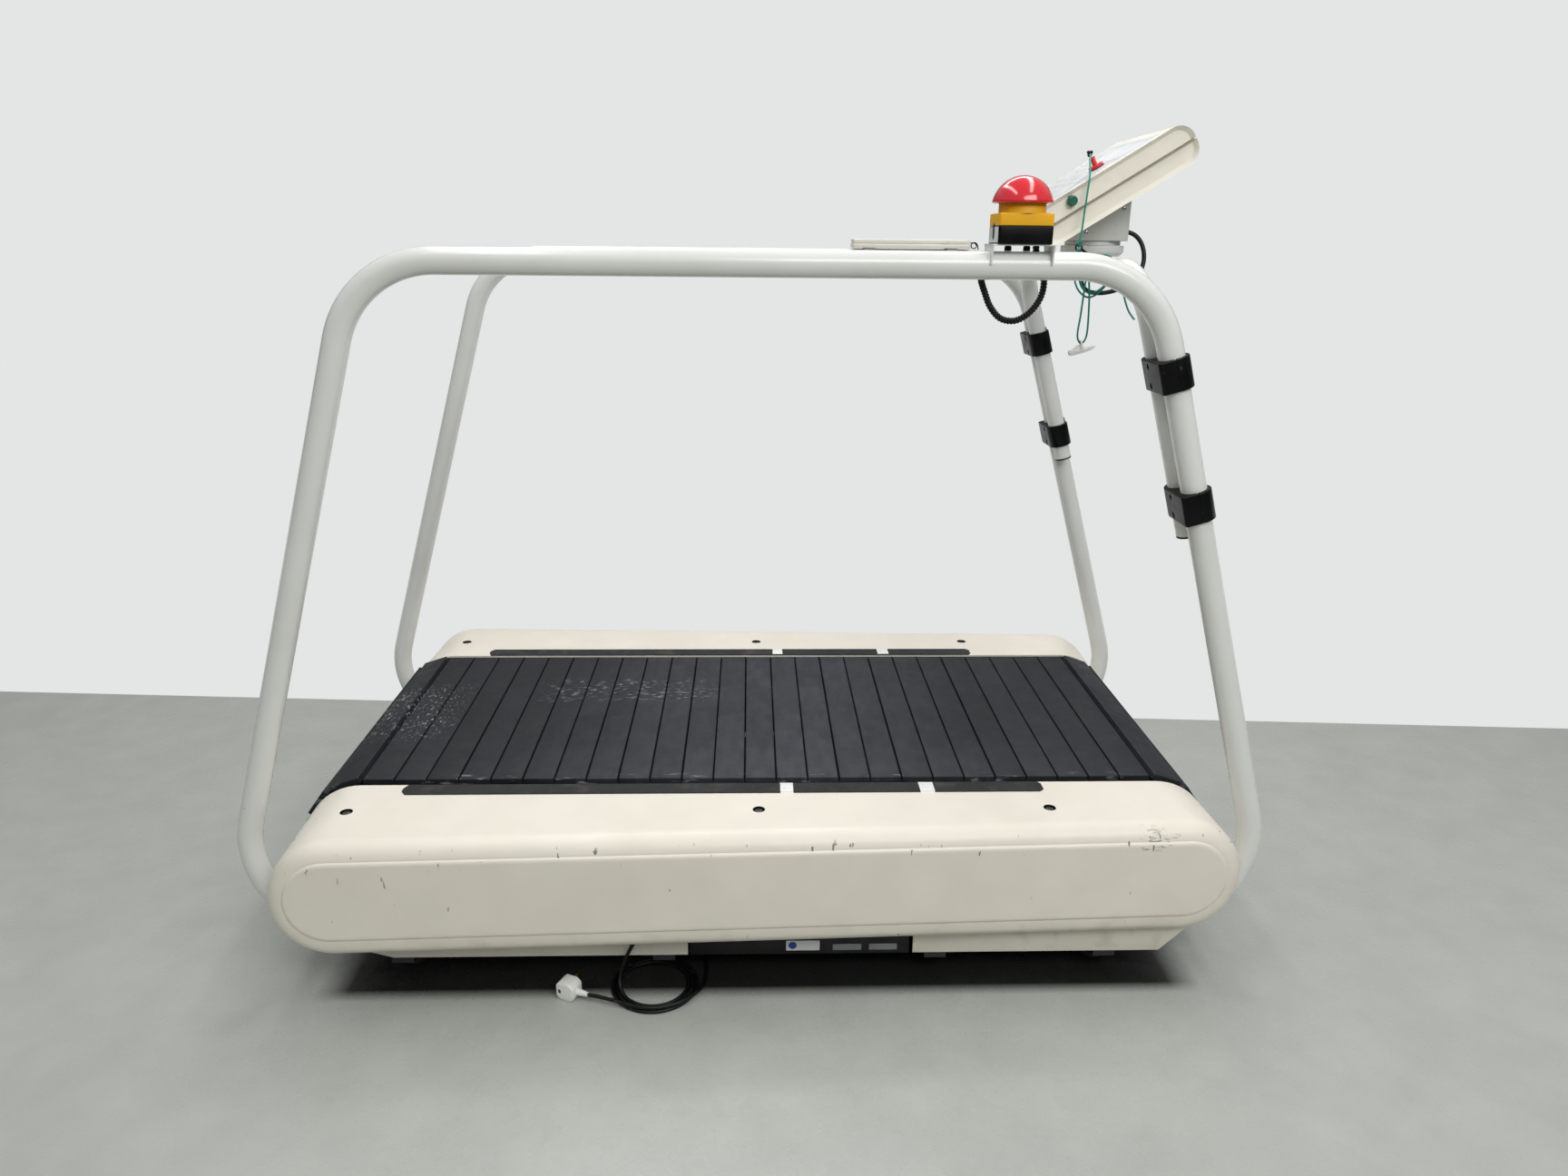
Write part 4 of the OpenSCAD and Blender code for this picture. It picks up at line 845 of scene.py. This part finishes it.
on_swivel = shift(SWIVEL_X, 0, 0)
base = [(49, 1281.4), (51.5, 1281.2), (52.4, 1282.4), (58.4, 1288), (59, 1289.2), (59, 1299.6), (57.8, 1301),
        (13, 1301)]
base = Shape().lathe(base, on_swivel, 64).box((596, -42, 1262), (652, 42, 1281.6), 1.6, 2)
base.done("turntable_foot", "turntable_grey", "turntable_base")
disc = [(11.9, 1288.6), (11.9, 1301.3), (51, 1301.3), (52, 1302.2), (52, 1307.8), (50.8, 1309), (0, 1309)]
disc = Shape().lathe(disc, on_swivel, 64)
disc.done("turntable_plate", "turntable_grey", "turntable_disc", "console_head")

WEDGE_X0, WEDGE_X1, WEDGE_Z, WEDGE_HALF = 595, 698, 1309.2, 56


def under_console(x):
    slope = radians(CON_TILT)
    return x, CON_Z + (x - CON_X) * tan(slope) - (CON_T / 2 + 0.1) / cos(slope)


wedge = [(WEDGE_X0, WEDGE_Z), (WEDGE_X1, WEDGE_Z), under_console(WEDGE_X1), under_console(WEDGE_X0)]
wedge = Shape().prism([wedge], -WEDGE_HALF, WEDGE_HALF, 2.2, 3, UPRIGHT)
wedge.done("wedge_case", "bracket_grey", "wedge_bracket", "console_head")
rivets = Shape()
for s in (-1, 1):
    for x, z in ((684, 1367), (617, 1324)):
        rivets.lathe([(4.1, -1), (4.1, 0.6), (3.4, 1.9), (1.6, 2.4), (0, 2.5)],
                     shift(x, s * WEDGE_HALF, z) @ turn(-90 * s, "X"), 28)
rivets.done("wedge_screw_set", "screw_steel", "bracket_screws", "console_head")

BUTTON_AT = on_console @ shift(37.6, -CON_W / 2, 19) @ UPRIGHT
KEY_U, KEY_V, CON_R, CON_ROUND, SEAM = 126, -60, 30, 7.0, 1.3


def console_outline(inset, upper):
    """Half of the rounded side outline, from the seam round to the seam, in by the inset."""
    u0, u1, v, r = -CON_T / 2 + inset, CON_END + CON_T / 2 - inset, CON_T / 2 - inset, CON_R - inset
    line = arc(u1 - r, v - r, r, 0, 90, 10) + arc(u0 + r, v - r, r, 90, 180, 10)
    return [(u, w if upper else -w) for u, w in [(u1, SEAM)] + line + [(u0, SEAM)]]


def console_shell(name, node, upper):
    rings = []
    for s, a in [(-1, a) for a in range(0, 91, 15)] + [(1, a) for a in range(90, -1, -15)]:
        t = radians(a)
        y = s * (CON_W / 2 - CON_ROUND * (1 - cos(pi / 2 - t)))
        rings.append([(u, y, w) for u, w in console_outline(CON_ROUND * (1 - sin(t)), upper)])
    shell = Shape().loft(rings)
    if upper:
        shell.cut(
            Shape().lathe([(9.4, -12), (9.4, 12)], on_console.inverted() @ BUTTON_AT, 40),
            Shape().lathe([(10.1, 20), (10.1, 40)], shift(KEY_U, KEY_V, 0), 40))
    bmesh.ops.transform(shell.bm, matrix=on_console, verts=shell.bm.verts)
    shell.done(name, "console_ivory", node, "console_head")


console_shell("console_lid", "console_upper_shell", True)
console_shell("console_tray", "console_lower_shell", False)
# The seam plate carries painted shade, darker than the shells around it.
seam = Shape().prism([round_rect(-33.4, -1.5, 269.4, 1.5, 1.4, 3)], -CON_W / 2 + 2.4, CON_W / 2 - 2.4, 0.6, 2,
                     on_console @ UPRIGHT)
seam.done("console_seam", "console_seam_shade", body="console_head")
film = [round_rect(8.5, -137.5, CON_END - 8.5, 137.5, 6), arc(KEY_U, KEY_V, 15.2, 0, 345, 23)]
film = Shape().prism(film, CON_T / 2 - 0.5, CON_T / 2 + 0.2, 0.15, 1, on_console)
film.done("console_overlay_film", "overlay_white", "console_overlay", "console_head")
LINE, LINE_LOW, LINE_HIGH = 1.4, CON_T / 2 + 0.1, CON_T / 2 + 0.3
fields = [(150, -120, 218, 120), (28, -125, 74, -40)]
for v in (-20, 30, 80):
    fields += [(96, v, 136, v + 40), (28, v, 74, v + 40)]
lines = Shape()
for u0, v0, u1, v1 in fields:
    inside = round_rect(u0 + LINE, v0 + LINE, u1 - LINE, v1 - LINE, 3)
    lines.prism([round_rect(u0, v0, u1, v1, 4), inside], LINE_LOW, LINE_HIGH, 0.05, 1, on_console)
lines.done("console_overlay_lines", "overlay_grey", body="console_head")

button = [(8.6, -4), (9, -3), (9, 3.2), (8.2, 4.6), (6.5, 5), (5.8, 4.3), (0, 4.3)]
button = Shape().lathe(  # the wave ribs its rim
    button, BUTTON_AT, 96, lambda a, k: 1 - 0.05 * (0.5 - 0.5 * cos(24 * a)) if k in (1, 2, 3) else 1)
button.done("green_button_cap", "button_green", "start_button", "green_button")
socket = [(9.3, 22), (9.3, 35.6), (14.4, 35.6), (15, 36), (14.6, 36.7), (13, 36.7), (12.4, 36.4), (4.6, 36.4),
          (4.6, 30)]
socket = Shape().lathe(socket, on_console @ shift(KEY_U, KEY_V, 0), 48)
socket.done("key_socket_ring", "black_plastic", "key_socket", "console_head")
key = [(4.3, -4), (4.3, 0), (13.2, 0), (14, 0.8), (14, 4), (13, 5), (6, 5.2), (4.7, 6.2), (4.4, 11),
       (4.6, 16.4), (5.8, 17.2), (6, 18.4), (5.2, 20.4), (3, 20.9), (0, 21)]
key = Shape().lathe(key, on_console @ shift(KEY_U, KEY_V, 36.8), 40)
key.done("red_key", "key_red", "safety_key", "pull_key")


def knot(at, size):
    """A small overhand knot as a closed trefoil of cord."""
    loop = []
    for i in range(72):
        t = 2 * pi * i / 72
        trefoil = ((sin(t) + 2 * sin(2 * t)) / 3, sin(3 * t) * 0.45, (cos(t) - 2 * cos(2 * t)) / 3)
        loop.append(Vector(at) + size * Vector(trefoil))
    return Shape().tube(loop + loop[:2], 1.6, 10)


knot((609.2, -62, 1461.5), 5).done("key_knot", "cable_black", body="pull_key")
EYE_X, EYE_Y, EYE_Z, EYE_R = 571, -175, 1297, 5.5
band = [(19.1, -5), (21.6, -5), (22, -4.4), (22, 4.4), (21.6, 5), (19.1, 5), (19.1, -5)]
eye = Shape().lathe(band, shift(ARCH_X, EYE_Y, ARCH_Z) @ UPRIGHT, 56)
eye.tube([(x, EYE_Y, z) for x, z in arc(EYE_X, EYE_Z, EYE_R, 0, 360, 32)], 1.5, 12)
eye.tube([(576, EYE_Y, 1294), (586, EYE_Y, 1287.5), (596, EYE_Y, 1280.5)], 2.4, 12)
eye.done("lanyard_ring", "black_plastic", "lanyard_eye")
knots = knot((571.3, EYE_Y, 1303), 4).copy_of(knot((571, EYE_Y, 1290), 4), Matrix())
knots.done("eye_knots", "cord_teal")

# ---------- emergency stop ----------

on_rail = shift(0, -RAIL_Y, 0)
on_stop = shift(STOP_X, -RAIL_Y, 0)
PLATE_T, SADDLE_X0, SADDLE_X1 = 2.5, 353, 449
bracket = Shape().box((SADDLE_X0, -32, 1301 - PLATE_T), (SADDLE_X1, 32, 1301), 0.8, 2, on_rail)
cheek = [(-32, 1300), (-26, 1282), (-24.5, 1271)]
mouth = arc(0, RAIL_Z, RAIL_R + 0.1, 174.5, 5.5, 24)
for x in (SADDLE_X0, SADDLE_X1 - PLATE_T):
    plate = cheek + mouth + mirrored(cheek)[len(cheek):]
    bracket.prism([plate], x, x + PLATE_T, 0.5, 2, on_rail @ ALONG_X)
bracket.done("stop_saddle", "tube_white", "stop_bracket", slot="turntable_grey")
bolt = [(5.4, 1290.6), (5.4, 1296.6), (4.6, 1298.3), (3, 1298.3), (3, 1300.8)]
bolts = Shape()
for x in (383, 412):
    bolts.lathe(bolt, on_rail @ shift(x, 0, 0), 28)
bolts.done("stop_bolt_set", "black_plastic", "stop_screws", slot="black_screw")
x0, x1, y0, y1 = STOP_X - 41.5, STOP_X + 41.5, -RAIL_Y - 36, -RAIL_Y + 36
case = Shape().prism([round_rect(x0, y0, x1, y1, 4)], 1301, 1326.8, 1.2, 2)
case.done("stop_case", "black_plastic", "stop_base")
end_face = Shape().box((x0 - 0.25, y0 + 4, 1303), (x0 + 0.6, y1 - 4, 1325.6), 0.2, 2)
end_face.done("stop_case_end", "turntable_grey")
slot = arc(-RAIL_Y, 1325, 6, 0, 180, 10) + arc(-RAIL_Y, 1313, 6, 180, 360, 10)
Shape().prism([slot], x0 - 0.6, x0 + 0.8, 0.2, 2, ALONG_X).done("stop_case_slot", "black_sheet")
lid = Shape().prism([round_rect(x0, y0, x1, y1, 4)], 1327.2, 1345, 1.6, 3)
lid.lathe([(37.5, 1344.6), (36.2, 1345.6), (35.5, 1347), (35.5, 1359.4), (34.6, 1360.9), (12, 1360.9)],
          on_stop, 64)
for sx in (-34, 34):
    for sy in (-28.5, 28.5):
        lid.lathe([(4.4, 1344.8), (4.4, 1345.3), (3.6, 1345.7), (2.6, 1345.1), (0, 1345.1)],
                  on_stop @ shift(sx, sy, 0), 24)
lid.done("stop_cover", "lid_yellow", "stop_lid")
cap = [(11, 1336), (11, 1367.5), (37.6, 1367.5), (38, 1360.4), (42, 1360), (44.4, 1359.8), (45.6, 1360.6),
       (46, 1362.4)] + arc(0, 1353.5, 46.5, 14, 86, 22) + [(0, 1400)]
dome = Shape().lathe(cap, on_stop, 96)
dome.done("stop_button_dome", "dome_red", "stop_dome", "stop_head", angle=50)

# ---------- flat box on the far rail, mains gland ----------

flat = Shape()
for x0, x1, across, r, low, high, bevel, steps in (
    (222, 493.5, 30, 5, 1292, 1301, 1.2, 2),
    (222.6, 492.9, 29.4, 5, 1301.5, 1311, 1.8, 3),
    (224, 491, 28, 4, 1300, 1303, 0.3, 1),
):
    flat.prism([round_rect(x0, RAIL_Y - across, x1, RAIL_Y + across, r)], low, high, bevel, steps)
for x in (250, 440):
    flat.box((x, RAIL_Y - 18, 1286.5), (x + 25, RAIL_Y + 18, 1293), 1, 2)
flat.done("flat_box_case", "box_cream", "accessory_box")

sleeve = [(3.9, 0), (5, 0.2), (5.2, 2.4), (4.6, 3.4), (5.7, 4.8), (5.8, 7), (5.2, 8), (6.3, 9.4), (6.4, 11.6),
          (5.8, 12.6), (6.9, 14), (7, 16.4), (6.4, 17.4), (7.4, 19), (7.5, 26.8)]
gland = Shape().box((-223, -495, 114), (-197, -478, 134), 2.4, 3)
gland.lathe(sleeve, shift(*GLAND_AT) @ turn(24.7, "Y"), 36)
gland.done("mains_elbow", "cable_black", "mains_gland")

# ---------- finishes for the CAD pieces that stay ----------

carried = {
    "frame_black": ["base_frame", "deck_frame", "rail_sockets", "bearing_housings"],
    "roller_steel": ["guide_rollers", "front_shaft", "rear_shaft"],
    "pulley_iron": ["front_pulleys", "rear_pulleys", "motor_pulley", "shaft_pulley"],
    "beam_aluminium": ["slat_beams"],
    "belt_rubber": ["carrier_belts", "drive_belt"],
    "motor_paint": ["drive_motor"],
}
for paint, names in carried.items():
    for name in names:
        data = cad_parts[name].data
        data.materials.clear()
        data.materials.append(paints[paint])

# ---------- floor and light ----------

AMBIENT, SHADE = 0.62, 0.04  # the sky's strength, and the share of it that comes from below
BACKGROUND = srgb(228, 229, 229)
WALL_A, WALL_B = Vector((-2.255, 0.898)), Vector((2.323, 0.593))
material("floor_grey", (172, 175, 169), 0.3, 0.004, 0.06, 0.02,
         Mark((160, 163, 158), 0.7, 0.5, 0.8, 0.3, 1), Mark((182, 184, 179), 0.4, 0.55, 0.8, 0.25, 2),
         rough_vary=0.1, lumps=(0.3, 0.05))
# Painted shadow: the floor is mixed nearly to black in a soft-edged box under the machine, standing in for
# its contact shadow.
net = Nodes(paints["floor_grey"].node_tree)
across_x = net.maths("ABSOLUTE", net.maths("ADD", net.axis("X"), -0.012))
across_y = net.maths("ABSOLUTE", net.axis("Y"))
under = net.maths("MULTIPLY", net.ranged(across_x, 0.81, 0.75), net.ranged(across_y, 0.53, 0.5))
base = net.shader.inputs["Base Color"]
net.put(net.mixed(net.maths("MULTIPLY", under, 0.97), base.links[0].from_socket, srgb(8, 8, 8)), base)
backdrop = bpy.data.materials.new("backdrop")
backdrop.use_nodes = True
backdrop.node_tree.nodes.clear()
net = Nodes(backdrop.node_tree)
glow = net.new("ShaderNodeEmission", {"Color": BACKGROUND})
net.new("ShaderNodeOutputMaterial", {"Surface": glow.outputs[0]})


def ground(name, corners, paint):
    mesh = bpy.data.meshes.new(name)
    mesh.from_pydata([(x, y, 0) for x, y in corners], [], [(0, 1, 2, 3)])
    mesh.materials.append(paint)
    add_object(name, mesh)


along = (WALL_B - WALL_A).normalized()
left, right = WALL_A - along * 10, WALL_B + along * 10
ground("floor", [(-14, -14), (14, -14), right, left], paints["floor_grey"])
ground("far_ground", [left, right, (60, 60), (-60, 60)], backdrop)

world = bpy.data.worlds.new("studio")
world.use_nodes = True
net = Nodes(world.node_tree, "Generated")
strength = net.ranged(net.axis("Z"), 0.1, 0.45, SHADE * AMBIENT, AMBIENT)
sky, seen = (net.new("ShaderNodeBackground", {"Color": BACKGROUND, "Strength": s}) for s in (strength, 1.0))
to_camera = net.new("ShaderNodeLightPath").outputs["Is Camera Ray"]
pick = net.new("ShaderNodeMixShader", {0: to_camera, 1: sky.outputs[0], 2: seen.outputs[0]})
net.put(pick.outputs[0], world.node_tree.nodes["World Output"].inputs["Surface"])
scene.world = world


def soft_light(name, at, aim, size, power):
    lamp = bpy.data.lights.new(name, "AREA")
    lamp.shape, lamp.energy = "RECTANGLE", power
    lamp.size, lamp.size_y = size
    holder = add_object(name, lamp)
    holder.location = at
    holder.rotation_euler = (Vector(aim) - Vector(at)).to_track_quat("-Z", "Y").to_euler()


soft_light("strip_left", (-0.9, -0.2, 3.3), (-0.9, -0.2, 0), (0.35, 3.2), 24)
soft_light("strip_right", (1.1, -0.2, 3.3), (1.1, -0.2, 0), (0.35, 3.2), 24)
soft_light("strip_back", (0.2, 1.6, 3.3), (0, 0, 0.4), (2.4, 0.4), 22)
soft_light("front_fill", (1.2, -3.1, 3.0), (0, -0.2, 0.3), (2.6, 1.2), 64)

scene.view_settings.view_transform = "Standard"
scene.view_settings.look = "None"
